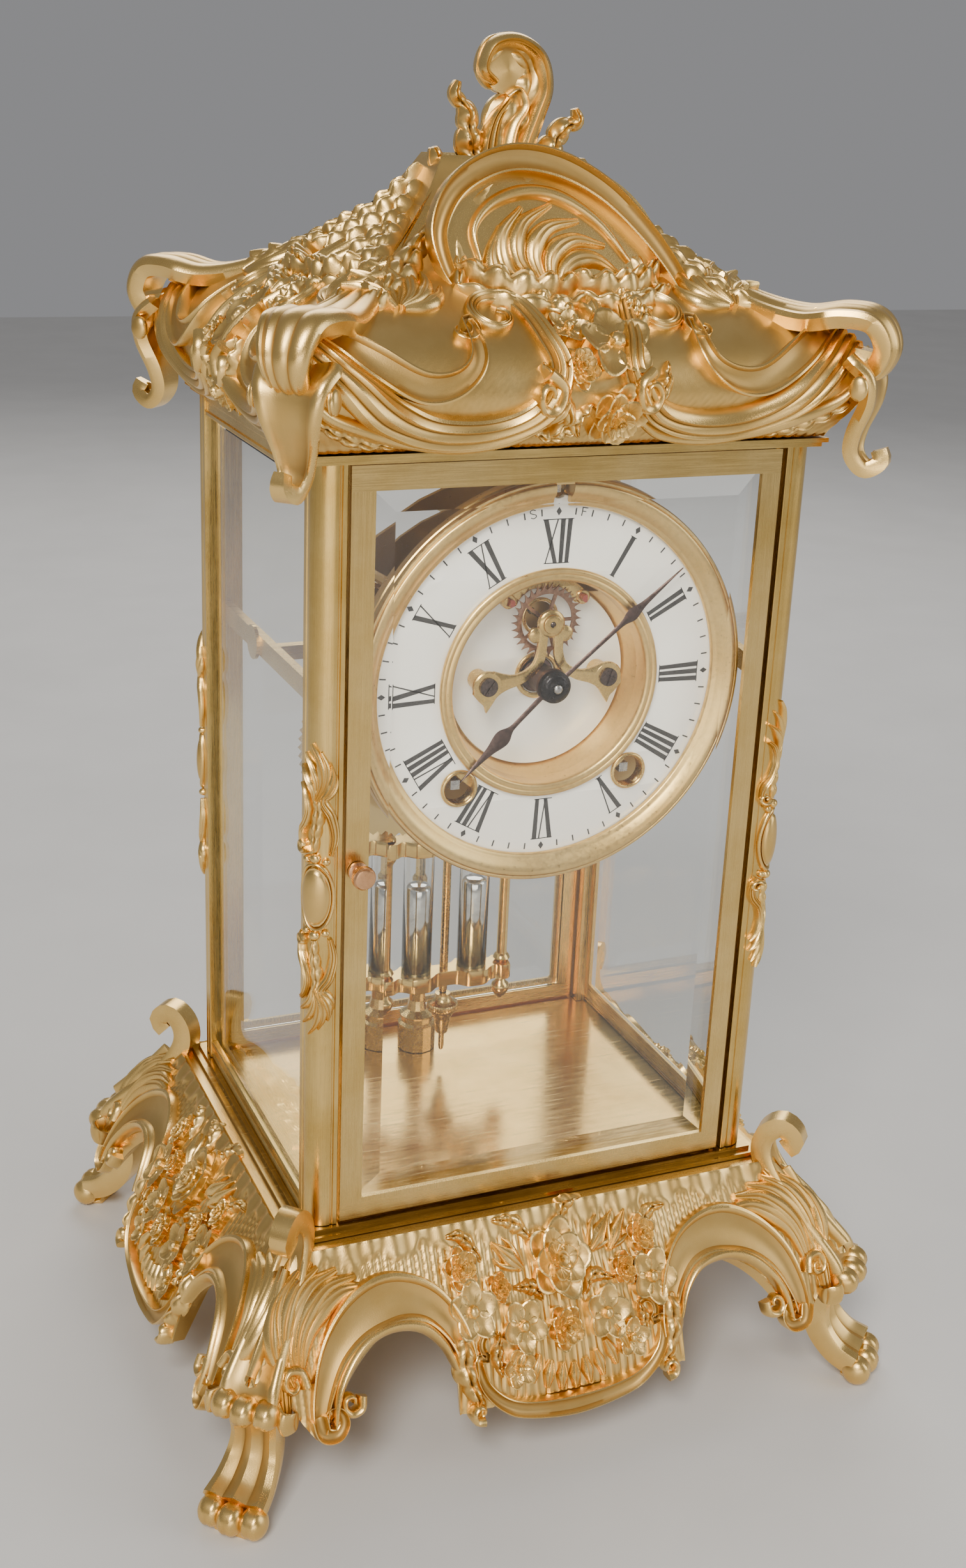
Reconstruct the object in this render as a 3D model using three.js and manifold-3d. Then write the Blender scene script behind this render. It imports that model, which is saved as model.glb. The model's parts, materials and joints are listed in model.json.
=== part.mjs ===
// Four-glass mantel regulator with a skeletonised (visible) escapement in the dial.
// Millimetres, +Z up, the front faces -Y. The origin is on the surface that the clock stands on,
// under the middle of its base.
import * as THREE from 'three';
import { mergeVertices } from 'three/addons/utils/BufferGeometryUtils.js';
import ManifoldModule from 'manifold-3d';

// ---- driving dimensions ---------------------------------------------------------------------
const GAP = 0.3;                 // clearance between pieces that touch
const CASE_X = 85;               // half width of the glazed case
const CASE_Y = 69;               // half depth of the glazed case
const FLOOR_Z = 85;              // top of the bottom plate
const CEIL_Z = 346.6;            // underside of the top plate
const TOTAL_Z = 468;             // tip of the crest

const DOOR_X = 74;               // half width of a door
const DOOR_Z0 = 86;
const DOOR_Z1 = 346;
const DOOR_T = 6.5;              // door thickness
const STILE = 7.8;               // width of the door's stiles and rails
const GLASS_T = 3.4;
const REBATE = 2.2;              // how far the glass laps behind the frame
const HINGE = 2;                 // hinge pin, in from the door's edge and face
const HINGE_CHAMFER = 0.7;
const KNOB_Z = 216;

const DIAL_Z = 269;              // height of the hand arbor
const DIAL_FRONT = -55.5;        // face of the enamel chapter ring
const BEZEL_R = 68;
const CHAPTER_R = 61;
const RING_R = 39;               // outside of the rolled ring round the recess
const RECESS_R = 31.2;           // enamel disc at the bottom of the recess
const RECESS_Y = -45;            // its face
const WIND_X = 31;
const WIND_Z = 235.5;
const REGULATE_Z = 332;         // regulating square, in a notch of the bezel over twelve
const REGULATE_HOLE = 3;

const ESCAPE_Z = 289;
const ESCAPE_R = 12.9;
const ANCHOR_Z = 301;            // axis of the anchor and of the pendulum's swing
const PALLET = [13.3, -5.1];     // pallet stone, from the anchor's axis
const BRIDGE_FOOT_X = 21.6;

const PLATE_Z = 262;             // centre of the round movement plates
const PLATE_R = 56;
const PLATE_T = 1.6;
const FRONT_PLATE = -36.4;       // back face of the front plate
const BACK_PLATE = 0;            // back face of the back plate
const PILLARS = { top_left: [-40, 297], top_right: [40, 297], bottom: [0, 210] };

// Gear trains. A pitch radius is module * teeth / 2, and the teeth only reach to either side of
// the pitch circle by REACH modules, so that they roll past each other with plenty of backlash.
const REACH = 0.25;
const GREAT = { teeth: 72, module: 1 };
const INTER_PINION = { teeth: 8, module: 1 };
const INTER_WHEEL = { teeth: 70, module: 0.5 };
const CENTRE_PINION = { teeth: 8, module: 0.5 };
const CENTRE_WHEEL = { teeth: 72, module: 0.5 };
const THIRD_PINION = { teeth: 6, module: 0.5 };
const THIRD_WHEEL = { teeth: 76, module: 0.37 };
const ESCAPE_PINION = { teeth: 6, module: 0.37 };
const CANNON = { teeth: 12, module: 0.42 };
const MINUTE_WHEEL = { teeth: 36, module: 0.42 };
const MINUTE_PINION = { teeth: 10, module: 0.4032 };
const HOUR_WHEEL = { teeth: 40, module: 0.4032 };
const PIN_PINION = { teeth: 8, module: 1 };
const PIN_WHEEL = { teeth: 60, module: 0.45 };
const FLY_PINION = { teeth: 6, module: 0.45 };

const PEND_Y = 26;
const PEND_TOP = 178;            // pendulum frame's upper plate
const PEND_LOW = 121;            // and its lower plate
const PEND_POST_X = 24.5;
const VIAL_X = 11.6;
const VIAL_R = 5.9;
const PEND_TIP = 91;

const GONG = { x: 0, y: 50, z: 232, r: 34 };

// ---- materials ------------------------------------------------------------------------------
const finish = (color, roughness, metalness) => ({ color, roughness, metalness });
const GILT = finish(0xd2ab5e, 0.45, 1);
const BRASS = finish(0xb8924a, 0.3, 1);
const ENAMEL = finish(0xf3eee4, 0.15, 0);
const STEEL = finish(0x3a302c, 0.35, 1);
const BLACK = finish(0x171311, 0.3, 0.8);
const GLASS = { ...finish(0xdfe6e4, 0.05, 0), transparent: true, opacity: 0.35 };
const BRONZE = finish(0x8a6242, 0.35, 1);
const MERCURY = finish(0xb7b3ac, 0.1, 0.9);

// ---- solids ---------------------------------------------------------------------------------
const wasm = await ManifoldModule();
wasm.setup();

function toManifold(geometry) {
  let g = geometry.clone();
  g.deleteAttribute('normal');
  g.deleteAttribute('uv');
  g = mergeVertices(g, 1e-4);
  const index = [...g.index.array];
  const tris = [];
  for (let i = 0; i < index.length; i += 3) {
    const [a, b, c] = index.slice(i, i + 3);
    if (a !== b && b !== c && c !== a) tris.push(a, b, c);
  }
  const build = (list) => new wasm.Manifold(new wasm.Mesh({
    numProp: 3,
    vertProperties: new Float32Array(g.attributes.position.array),
    triVerts: new Uint32Array(list),
  }));
  const made = build(tris);
  if (made.volume() > 0) return made;
  const flipped = [];
  for (let i = 0; i < tris.length; i += 3) flipped.push(tris[i], tris[i + 2], tris[i + 1]);
  return build(flipped);
}

function toGeometry(manifold) {
  const mesh = manifold.getMesh();
  const g = new THREE.BufferGeometry();
  const xyz = new Float32Array((mesh.vertProperties.length / mesh.numProp) * 3);
  for (let i = 0; i < xyz.length / 3; i++) {
    for (let k = 0; k < 3; k++) xyz[3 * i + k] = mesh.vertProperties[i * mesh.numProp + k];
  }
  g.setAttribute('position', new THREE.BufferAttribute(xyz, 3));
  g.setIndex(new THREE.BufferAttribute(new Uint32Array(mesh.triVerts), 1));
  g.computeVertexNormals();
  return g;
}

const join = (...parts) => toGeometry(parts.map(toManifold).reduce((a, b) => a.add(b)));
const cut = (body, ...tools) => toGeometry(
  tools.map(toManifold).reduce((a, b) => a.subtract(b), toManifold(body)));

const clock = new THREE.Group();
function add(name, geometry, look) {
  const mesh = new THREE.Mesh(geometry, new THREE.MeshStandardMaterial(look));
  mesh.name = name;
  clock.add(mesh);
}

// ---- shape helpers --------------------------------------------------------------------------
const span = (a, b) => [Math.min(a, b), Math.max(a, b)];

function box(xa, xb, ya, yb, za, zb) {
  const [[x0, x1], [y0, y1], [z0, z1]] = [span(xa, xb), span(ya, yb), span(za, zb)];
  return new THREE.BoxGeometry(x1 - x0, y1 - y0, z1 - z0)
    .translate((x0 + x1) / 2, (y0 + y1) / 2, (z0 + z1) / 2);
}

// A round bar along Y from y0 to y1, centred on [x, z].
const bar = (r, y0, y1, [x, z], sides = 16) => new THREE.CylinderGeometry(r, r, y1 - y0, sides)
  .translate(x, (y0 + y1) / 2, z);
// A round bar along Z.
const post = (r, z0, z1, [x, y], sides = 16) => new THREE.CylinderGeometry(r, r, z1 - z0, sides)
  .rotateX(Math.PI / 2).translate(x, y, (z0 + z1) / 2);
// A body turned about the Y axis through [x, z], from points [radius, y].
const turnedY = (points, [x, z], sides = 32) => new THREE.LatheGeometry(
  points.map(([r, y]) => new THREE.Vector2(r, y)), sides).translate(x, 0, z);
// A body turned about the Z axis through [x, y], from points [radius, z].
const turnedZ = (points, [x, y], sides = 16) => new THREE.LatheGeometry(
  points.map(([r, z]) => new THREE.Vector2(r, z)), sides).rotateX(Math.PI / 2).translate(x, y, 0);
// A plate whose outline is drawn in X and Z, from yFront back to yFront + thickness.
function plate(shape, yFront, thickness, [x, z] = [0, 0]) {
  return new THREE.ExtrudeGeometry(shape, { depth: thickness, bevelEnabled: false, curveSegments: 8 })
    .rotateX(Math.PI / 2).translate(x, yFront + thickness, z);
}
const shapeOf = (points) => new THREE.Shape(points.map(([x, y]) => new THREE.Vector2(x, y)));
const circle = (r, n) => Array.from({ length: n }, (_, i) => {
  const a = (2 * Math.PI * i) / n;
  return [r * Math.cos(a), r * Math.sin(a)];
});

// ---- gears ----------------------------------------------------------------------------------
const pitch = ({ teeth, module }) => (teeth * module) / 2;
const distance = (a, b) => pitch(a) + pitch(b);

// Outline of a gear with a tooth centred on the direction `phase`.
function gearShape(gear, phase, holes = []) {
  const tip = pitch(gear) + REACH * gear.module;
  const root = pitch(gear) - 1.1 * gear.module;
  const step = (2 * Math.PI) / gear.teeth;
  const points = [];
  for (let i = 0; i < gear.teeth; i++) {
    const a = phase + i * step;
    for (const [r, offset] of [[tip, 0], [root, 0.5]]) {
      points.push([r * Math.cos(a + offset * step), r * Math.sin(a + offset * step)]);
    }
  }
  const shape = shapeOf(points);
  for (const hole of holes) shape.holes.push(new THREE.Path(hole.map(([x, y]) => new THREE.Vector2(x, y))));
  return shape;
}

// Windows between a crossed-out wheel's spokes.
function windows(count, inner, outer, spoke) {
  const arc = 2;
  return Array.from({ length: count }, (_, i) => {
    const mid = (2 * Math.PI * (i + 0.5)) / count;
    const half = (r) => Math.PI / count - spoke / 2 / r;
    const side = (r, sign) => Array.from({ length: arc + 1 }, (_, k) => {
      const a = mid + sign * half(r) * (1 - (2 * k) / arc);
      return [r * Math.cos(a), r * Math.sin(a)];
    });
    return [...side(outer, -1), ...side(inner, 1)];
  });
}

const crossings = (gear, hub) => windows(5, hub, pitch(gear) - 3.2 * gear.module, 2.4);

// Where the axis of a wheel lies that meshes at distance ra from a and rb from b.
function meshPoint([ax, az], ra, [bx, bz], rb, side) {
  const [dx, dz] = [bx - ax, bz - az];
  const d = Math.hypot(dx, dz);
  const along = (ra * ra - rb * rb + d * d) / (2 * d);
  const off = side * Math.sqrt(ra * ra - along * along);
  return [ax + (along * dx - off * dz) / d, az + (along * dz + off * dx) / d];
}

const bearing = ([ax, az], [bx, bz]) => Math.atan2(bz - az, bx - ax);

// Phase that puts a gap of `gear` opposite a tooth of the gear that it meshes with.
function meshPhase(other, otherAt, otherPhase, gear, at) {
  const line = bearing(otherAt, at);
  const offset = ((line - otherPhase) * other.teeth) / (2 * Math.PI);
  return line + Math.PI + ((offset + 0.5) * 2 * Math.PI) / gear.teeth;
}

// A wheel and its pinion on one arbor: the planes are [front, back] distances along Y.
function wheelAndPinion({ at, wheel, wheelPhase, wheelSpan, pinion, pinionPhase, pinionSpan,
  arbor, ends }) {
  const [wf, wb] = wheelSpan;
  const [pf, pb] = pinionSpan;
  return join(
    plate(gearShape(wheel, wheelPhase, crossings(wheel, 3.2)), wf, wb - wf, at),
    plate(gearShape(pinion, pinionPhase), pf, pb - pf, at),
    bar(arbor, ends[0], ends[1], at, 12));
}

const CENTRE = [0, DIAL_Z];
const ESCAPE = [0, ESCAPE_Z];
const ANCHOR = [0, ANCHOR_Z];
const TIME = [WIND_X, WIND_Z];
const STRIKE = [-WIND_X, WIND_Z];
const INTER = meshPoint(TIME, distance(GREAT, INTER_PINION), CENTRE,
  distance(INTER_WHEEL, CENTRE_PINION), -1);
const THIRD = meshPoint(CENTRE, distance(CENTRE_WHEEL, THIRD_PINION), ESCAPE,
  distance(THIRD_WHEEL, ESCAPE_PINION), 1);
const MINUTE_ARBOR_ANGLE = -0.5;
const MINUTE = [0, 1].map((k) => CENTRE[k] + distance(CANNON, MINUTE_WHEEL)
  * [Math.cos(MINUTE_ARBOR_ANGLE), Math.sin(MINUTE_ARBOR_ANGLE)][k]);
const PIN = [STRIKE[0] - 3, STRIKE[1] + Math.sqrt(distance(GREAT, PIN_PINION) ** 2 - 9)];
const FLY = [PIN[0], PIN[1] + distance(PIN_WHEEL, FLY_PINION)];
const HAMMER = [-22, 305];

const ARBOR = 1;
const PIVOT_ENDS = [-36, -0.4];          // both pivots lie inside the plates
const HOLE = ARBOR + GAP;

// ---- case -----------------------------------------------------------------------------------
// The skirt of the base spreads from the case outwards by `flare` at height z.
const SKIRT_TOP = 81.7;
const SKIRT_LOW = 24;
const SKIRT_RIM = 7;
const SKIRT_SPREAD = 33;
const SKIRT_T = 5;
const ARCH_APEX = 56;
const ARCH_SPRING = 28;
const flare = (z) => {
  const s = THREE.MathUtils.clamp((SKIRT_TOP - z) / (SKIRT_TOP - SKIRT_LOW), 0, 1);
  return SKIRT_RIM + SKIRT_SPREAD * (1 - (1 - s) ** 1.5);
};
// Height of the skirt's lower edge at u, from -1 to 1 along a side: a pendant in the middle, an
// arch either side of it and the legs at the ends.
function skirtEdge(u) {
  const a = Math.abs(u);
  const t = (a - 0.52) / 0.2;
  if (Math.abs(t) < 1) return ARCH_SPRING + (ARCH_APEX - ARCH_SPRING) * Math.sqrt(1 - t * t);
  return a < 0.4 ? SKIRT_LOW : ARCH_SPRING;
}
// One sloping side of the skirt; long is the half length of the case on that side.
function skirtSide(halfLength, halfDepth) {
  const g = new THREE.BoxGeometry(2, 1, 1, 20, 1, 3);
  const p = g.attributes.position;
  for (let i = 0; i < p.count; i++) {
    const u = p.getX(i);
    const inner = p.getY(i) > 0 ? SKIRT_T : 0;
    const v = p.getZ(i) + 0.5;
    const z = THREE.MathUtils.lerp(skirtEdge(u), SKIRT_TOP, v);
    const off = flare(z) - inner;
    p.setXYZ(i, u * (halfLength + off), -(halfDepth + off), z);
  }
  return g;
}

// A corner leg: a side view in the diagonal plane, thickened across it.
const LEG = [[7, 80], [14, 74], [20, 64], [26, 54], [31, 46], [30, 40], [26, 33], [26, 24],
  [32, 16], [40, 15], [42, 9], [40, 1.5], [38, 0], [32, 0], [28, 3], [23, 12], [19, 24], [16, 38], [8, 56],
  [2, 74]];
const LEG_WIDTH = 22;
const CURL = [9, 91, 6];                  // ball on top of each corner: outwards, height, radius
const TOE_SPREAD = Math.SQRT2;

function corners(make) {
  return [[-1, -1], [1, -1], [-1, 1], [1, 1]].map(([sx, sy]) => make(sx, sy));
}

function leg(sx, sy) {
  const shape = shapeOf(LEG.map(([out, z]) => [out * TOE_SPREAD, z]));
  const g = new THREE.ExtrudeGeometry(shape, { depth: LEG_WIDTH, bevelEnabled: false })
    .translate(0, 0, -LEG_WIDTH / 2).rotateX(Math.PI / 2).rotateZ(Math.atan2(sy, sx));
  const neck = box(-4, 4, -4, 4, 78, CURL[1]).translate(sx * CURL[0], sy * CURL[0], 0);
  const ball = new THREE.SphereGeometry(CURL[2], 10, 6)
    .translate(sx * CURL[0], sy * CURL[0], CURL[1]);
  return join(g, neck, ball).translate(sx * CASE_X, sy * CASE_Y, 0);
}

const PLATE_RIM = 4;                      // how far the bottom plate's lower step stands out
const PLATE_STEP = 1.5;

function baseCasting() {
  const sides = [
    skirtSide(CASE_X, CASE_Y), skirtSide(CASE_X, CASE_Y).rotateZ(Math.PI),
    skirtSide(CASE_Y, CASE_X).rotateZ(Math.PI / 2), skirtSide(CASE_Y, CASE_X).rotateZ(-Math.PI / 2),
  ];
  const bulge = (s) => new THREE.SphereGeometry(1, 12, 6).scale(30, 14, 26)
    .translate(0, s * (CASE_Y + 20), 56);
  const shelf = cut(
    box(-CASE_X - 6, CASE_X + 6, -CASE_Y - 6, CASE_Y + 6, SKIRT_TOP - 4, SKIRT_TOP),
    box(-CASE_X + 14, CASE_X - 14, -CASE_Y + 14, CASE_Y - 14, 0, CEIL_Z));
  const whole = join(shelf, ...sides, bulge(-1), bulge(1), ...corners(leg));
  const room = box(-CASE_X + 14, CASE_X - 14, -CASE_Y + 8, CASE_Y - 8, -1, SKIRT_TOP - 5);
  const seat = box(-CASE_X - PLATE_RIM - GAP, CASE_X + PLATE_RIM + GAP,
    -CASE_Y - PLATE_RIM - GAP, CASE_Y + PLATE_RIM + GAP, SKIRT_TOP, SKIRT_TOP + 12);
  return cut(whole, room, seat);
}
add('base_casting', baseCasting(), GILT);

const HINGE_X = DOOR_X - HINGE;
const HINGE_Y = CASE_Y - HINGE;
const PIN_R = 1;
const PIN_DEPTH = 1.2;
const hingeHoles = (z0, z1) => [[HINGE_X, -HINGE_Y], [-HINGE_X, HINGE_Y]]
  .map((at) => post(PIN_R + GAP, z0, z1, at, 12));

function steppedPlate(wide, narrow, z0, z1, z2) {
  return join(
    box(-CASE_X - wide, CASE_X + wide, -CASE_Y - wide, CASE_Y + wide, z0, z1),
    box(-CASE_X - narrow, CASE_X + narrow, -CASE_Y - narrow, CASE_Y + narrow, z1, z2));
}
add('bottom_plate', cut(
  steppedPlate(PLATE_RIM, PLATE_STEP, SKIRT_TOP + GAP, FLOOR_Z - 1.4, FLOOR_Z),
  ...hingeHoles(FLOOR_Z - 2.4, FLOOR_Z + 1)), BRASS);
const TOP_OF_PLATE = CEIL_Z + 3;
add('top_plate', cut(
  steppedPlate(PLATE_STEP, 3, CEIL_Z, CEIL_Z + 1.6, TOP_OF_PLATE),
  ...hingeHoles(CEIL_Z - 1, CEIL_Z + 2.4)), BRASS);

// Corner posts: a flat beside the door, a rounded column, and a groove for the side glass.
const POST_IN = CASE_X - 10;
const POST_BACK = CASE_Y - 11.5;
const COLUMN_R = 6.5;
const SIDE_GLASS = [CASE_X - 6, CASE_X - 3];
const GROOVE = 2.4;

function postShape() {
  const arc = Array.from({ length: 7 }, (_, i) => {
    const a = (Math.PI / 2) * (i / 6);
    return [CASE_X - COLUMN_R + COLUMN_R * Math.sin(a), CASE_Y - COLUMN_R + COLUMN_R * Math.cos(a)];
  });
  return shapeOf([
    [POST_IN, POST_BACK], [POST_IN, CASE_Y], ...arc, [CASE_X, POST_BACK],
    [SIDE_GLASS[1] + GAP, POST_BACK], [SIDE_GLASS[1] + GAP, POST_BACK + GROOVE],
    [SIDE_GLASS[0] - GAP, POST_BACK + GROOVE], [SIDE_GLASS[0] - GAP, POST_BACK],
  ]);
}
const MOUNT_Z = [156, 260];               // cast ornament on each post
const MOUNT_W = 11;
const MOUNT_T = 3;

function postMount() {
  const [z0, z1] = MOUNT_Z;
  const mid = (z0 + z1) / 2;
  const w = MOUNT_W / 2;
  const outline = shapeOf([[0, z0], [w * 0.7, z0 + 12], [w * 0.8, mid - 26], [w * 0.6, mid - 12],
    [w, mid], [w * 0.6, mid + 12], [w * 0.8, mid + 26], [w * 0.7, z1 - 12], [0, z1],
    [-w * 0.7, z1 - 12], [-w * 0.8, mid + 26], [-w * 0.6, mid + 12], [-w, mid],
    [-w * 0.6, mid - 12], [-w * 0.8, mid - 26], [-w * 0.7, z0 + 12]]);
  return new THREE.ExtrudeGeometry(outline, { depth: MOUNT_T, bevelEnabled: false })
    .rotateX(Math.PI / 2).translate(0, -COLUMN_R - GAP, 0);
}
for (const [side, sx] of [['left', -1], ['right', 1]]) {
  for (const [end, sy] of [['front', -1], ['rear', 1]]) {
    const z0 = FLOOR_Z + GAP;
    const column = new THREE.ExtrudeGeometry(postShape(),
      { depth: CEIL_Z - GAP - z0, bevelEnabled: false }).translate(0, 0, z0);
    add(`post_${end}_${side}`, toGeometry(toManifold(column.scale(sx, sy, 1))), BRASS);
    const turn = Math.atan2(sy, sx) + Math.PI / 2;
    add(`post_mount_${end}_${side}`, postMount().rotateZ(turn)
      .translate(sx * (CASE_X - COLUMN_R), sy * (CASE_Y - COLUMN_R), 0), GILT);
  }
}
for (const [side, sx] of [['left', -1], ['right', 1]]) {
  const reach = POST_BACK + GROOVE - GAP;
  add(`side_glass_${side}`, box(sx * SIDE_GLASS[0], sx * SIDE_GLASS[1], -reach, reach,
    FLOOR_Z + GAP, CEIL_Z - GAP), GLASS);
}

// A door as seen from its own front: hinged on the right, latched on the left.
function doorFrame() {
  const inner = DOOR_X - STILE;
  const blank = box(-DOOR_X, DOOR_X, -CASE_Y, -CASE_Y + DOOR_T, DOOR_Z0, DOOR_Z1);
  const daylight = box(-inner, inner, -CASE_Y - 1, 0, DOOR_Z0 + STILE, DOOR_Z1 - STILE);
  const rebate = box(-inner - REBATE, inner + REBATE, -CASE_Y + DOOR_T - GLASS_T - GAP - 1, 0,
    DOOR_Z0 + STILE - REBATE, DOOR_Z1 - STILE + REBATE);
  const spindle = bar(KNOB_SHAFT + GAP, -CASE_Y - 1, -CASE_Y + DOOR_T + 1, [KNOB_X, KNOB_Z], 12);
  const chamfer = box(-HINGE_CHAMFER, HINGE_CHAMFER, -HINGE_CHAMFER, HINGE_CHAMFER,
    DOOR_Z0 - 1, DOOR_Z1 + 1).rotateZ(Math.PI / 4).translate(DOOR_X, -CASE_Y, 0);
  const pins = [[DOOR_Z0 - PIN_DEPTH - 0.6, DOOR_Z0 + 1], [DOOR_Z1 - 1, DOOR_Z1 + PIN_DEPTH + 0.6]]
    .map(([z0, z1]) => post(PIN_R, z0, z1, [HINGE_X, -HINGE_Y], 12));
  return join(cut(blank, daylight, rebate, spindle, chamfer), ...pins);
}
const KNOB_X = -DOOR_X + 4;
const KNOB_SHAFT = 1.2;
const KNOB_R = 3.9;

function doorGlass() {
  const x = DOOR_X - STILE + REBATE - GAP;
  const y = -CASE_Y + DOOR_T - GLASS_T - 1;
  return box(-x, x, y, y + GLASS_T, DOOR_Z0 + STILE - REBATE + GAP, DOOR_Z1 - STILE + REBATE - GAP);
}

function doorKnob() {
  const front = -CASE_Y - GAP;
  return join(
    turnedY([[0, front - 8], [KNOB_R - 0.6, front - 8], [KNOB_R, front - 7.2], [KNOB_R, front - 3.4],
      [KNOB_R - 0.5, front - 2.8], [2.2, front - 2.4], [2.2, front - 1.2], [3.4, front - 1],
      [3.4, front], [0, front]], [KNOB_X, KNOB_Z], 14),
    bar(KNOB_SHAFT, front - 1, -CASE_Y + DOOR_T + 1, [KNOB_X, KNOB_Z], 12),
    bar(2.4, -CASE_Y + DOOR_T + GAP, -CASE_Y + DOOR_T + 1.3, [KNOB_X, KNOB_Z], 12));
}
for (const [end, turn] of [['front', 0], ['back', Math.PI]]) {
  add(`${end}_door_frame`, doorFrame().rotateZ(turn), BRASS);
  add(`${end}_door_glass`, doorGlass().rotateZ(turn), GLASS);
  add(`${end}_door_knob`, doorKnob().rotateZ(turn), BRASS);
}

// ---- crest ----------------------------------------------------------------------------------
// Half extents of the hollow dome, beyond the case, at each height.
const DOME = [[350, 1], [358, 5], [368, 9], [380, 7], [390, 0], [397, -12], [403, -26], [411, -42],
  [422, -54], [430, -59]];
const DOME_WALL = 6;

function domeOffset(z) {
  const i = Math.max(1, DOME.findIndex(([h]) => h >= z));
  const [[z0, o0], [z1, o1]] = [DOME[i - 1], DOME[i]];
  return THREE.MathUtils.lerp(o0, o1, (z - z0) / (z1 - z0));
}

function dome(shrink, levels) {
  const g = new THREE.BoxGeometry(2, 2, 1, 2, 2, levels.length - 1);
  const p = g.attributes.position;
  for (let i = 0; i < p.count; i++) {
    const level = levels[Math.round((p.getZ(i) + 0.5) * (levels.length - 1))];
    const off = domeOffset(level + shrink) - shrink;
    p.setXYZ(i, p.getX(i) * (CASE_X + off), p.getY(i) * (CASE_Y + off), level);
  }
  return g;
}

const VOLUTE = { out: 8, z: 377, r: 14 };
const DROP = { out: 9.5, z0: 340, z1: 372 };

function volute(sx, sy) {
  const ball = new THREE.SphereGeometry(VOLUTE.r, 12, 8).scale(1, 1, 1.15)
    .translate(sx * (CASE_X + VOLUTE.out - 3), sy * (CASE_Y + VOLUTE.out - 3), VOLUTE.z);
  const drop = turnedZ([[0, DROP.z0], [3.5, DROP.z0 + 1], [4.5, DROP.z0 + 6], [5, DROP.z1 - 10],
    [6.5, DROP.z1 - 3], [0, DROP.z1]], [0, 0], 8)
    .translate(sx * (CASE_X + DROP.out), sy * (CASE_Y + DROP.out), 0);
  return join(ball, drop);
}

function crestOrnament() {
  const roundel = new THREE.CylinderGeometry(29, 31, 12, 16).rotateX(-Math.PI / 10)
    .translate(-6, -38, 406);
  const finial = plate(shapeOf([[-20, 424], [-16, 436], [-20, 450], [-15, 452], [-11, 449],
    [-10, 460], [-5, TOTAL_Z - 1], [1, TOTAL_Z], [8, 462], [11, 448], [20, 446], [23, 441],
    [14, 436], [13, 424]]), -9, 16);
  return join(roundel, finial);
}

function topCasting() {
  const shell = join(dome(0, DOME.map(([z]) => z)), ...corners(volute), crestOrnament());
  const hollow = dome(DOME_WALL, [349, 356, 364, 376, 386, 393, 399, 407]);
  const clearance = box(-CASE_X - 2, CASE_X + 2, -CASE_Y - 2, CASE_Y + 2, 330, TOP_OF_PLATE + GAP);
  return cut(shell, hollow, clearance);
}
add('top_casting', topCasting(), GILT);

// ---- dial -----------------------------------------------------------------------------------
const CHAPTER_T = 1.8;
const ringY = (profile, sides) => turnedY([...profile, profile[0]], CENTRE, sides);
const DIAL_FEET = [Math.PI / 6, (5 * Math.PI) / 6, (3 * Math.PI) / 2];
const FOOT_R = 47;

const GROMMET_R = 6.5;
const dialHoles = (r) => [TIME, STRIKE].map((at) => bar(r, -70, 0, at, 16));
const regulatorHole = bar(REGULATE_HOLE, -70, 0, [0, REGULATE_Z], 16);

const bezelRing = ringY([[CHAPTER_R - 1.6, -57.6], [CHAPTER_R - 0.6, -59.4],
  [CHAPTER_R + 2, -60.4], [BEZEL_R - 1.5, -59.2], [BEZEL_R, -57], [BEZEL_R, -53],
  [FOOT_R - 4, -53], [FOOT_R - 4, -53.4], [CHAPTER_R + 0.5, -53.4],
  [CHAPTER_R + 0.5, -55.9], [CHAPTER_R - 1.6, -55.9]], 36);
const dialFeet = DIAL_FEET.map((a) => bar(2.4, -53.2, FRONT_PLATE - PLATE_T - GAP,
  [FOOT_R * Math.cos(a), DIAL_Z + FOOT_R * Math.sin(a)], 10));
add('dial_bezel', cut(join(bezelRing, ...dialFeet), ...dialHoles(GROMMET_R + GAP), regulatorHole),
  GILT);

add('chapter_ring', cut(
  ringY([[RING_R - 2.2, DIAL_FRONT], [CHAPTER_R, DIAL_FRONT], [CHAPTER_R, DIAL_FRONT + CHAPTER_T],
    [RING_R - 2.2, DIAL_FRONT + CHAPTER_T]], 40),
  ...dialHoles(GROMMET_R - 0.7), regulatorHole), ENAMEL);

for (const [side, at] of [['left', STRIKE], ['right', TIME]]) {
  const lip = DIAL_FRONT - GAP;
  const grommet = [[GROMMET_R - 1.4, lip - 0.6], [GROMMET_R - 0.4, lip - 0.9], [GROMMET_R, lip - 0.2],
    [GROMMET_R, lip], [GROMMET_R - 1, lip], [GROMMET_R - 1, -52], [GROMMET_R - 1.4, -52]];
  add(`winding_grommet_${side}`, turnedY([...grommet, grommet[0]], at, 16), BRASS);
}

const ANCHOR_SLOT = bar(2, -70, 0, ANCHOR, 16);
add('recess_cup', cut(
  ringY([[RECESS_R + 0.7, -44.4], [RECESS_R + 3, -53], [RING_R - 4.4, -56.2], [RING_R - 3.4, -57.2],
    [RING_R - 1.6, -57.2], [RING_R, -55.8], [RING_R - 2.6, -55.8], [RING_R - 2.6, -53.6],
    [RECESS_R + 3.8, -52.8], [RECESS_R + 1.5, -43.2], [RECESS_R - 1, -43.2], [RECESS_R - 1, -43.5],
    [RECESS_R + 0.7, -43.5]], 28),
  ANCHOR_SLOT, box(-17, 17, -50.9, -46.2, 290, 306)), GILT);

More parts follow.
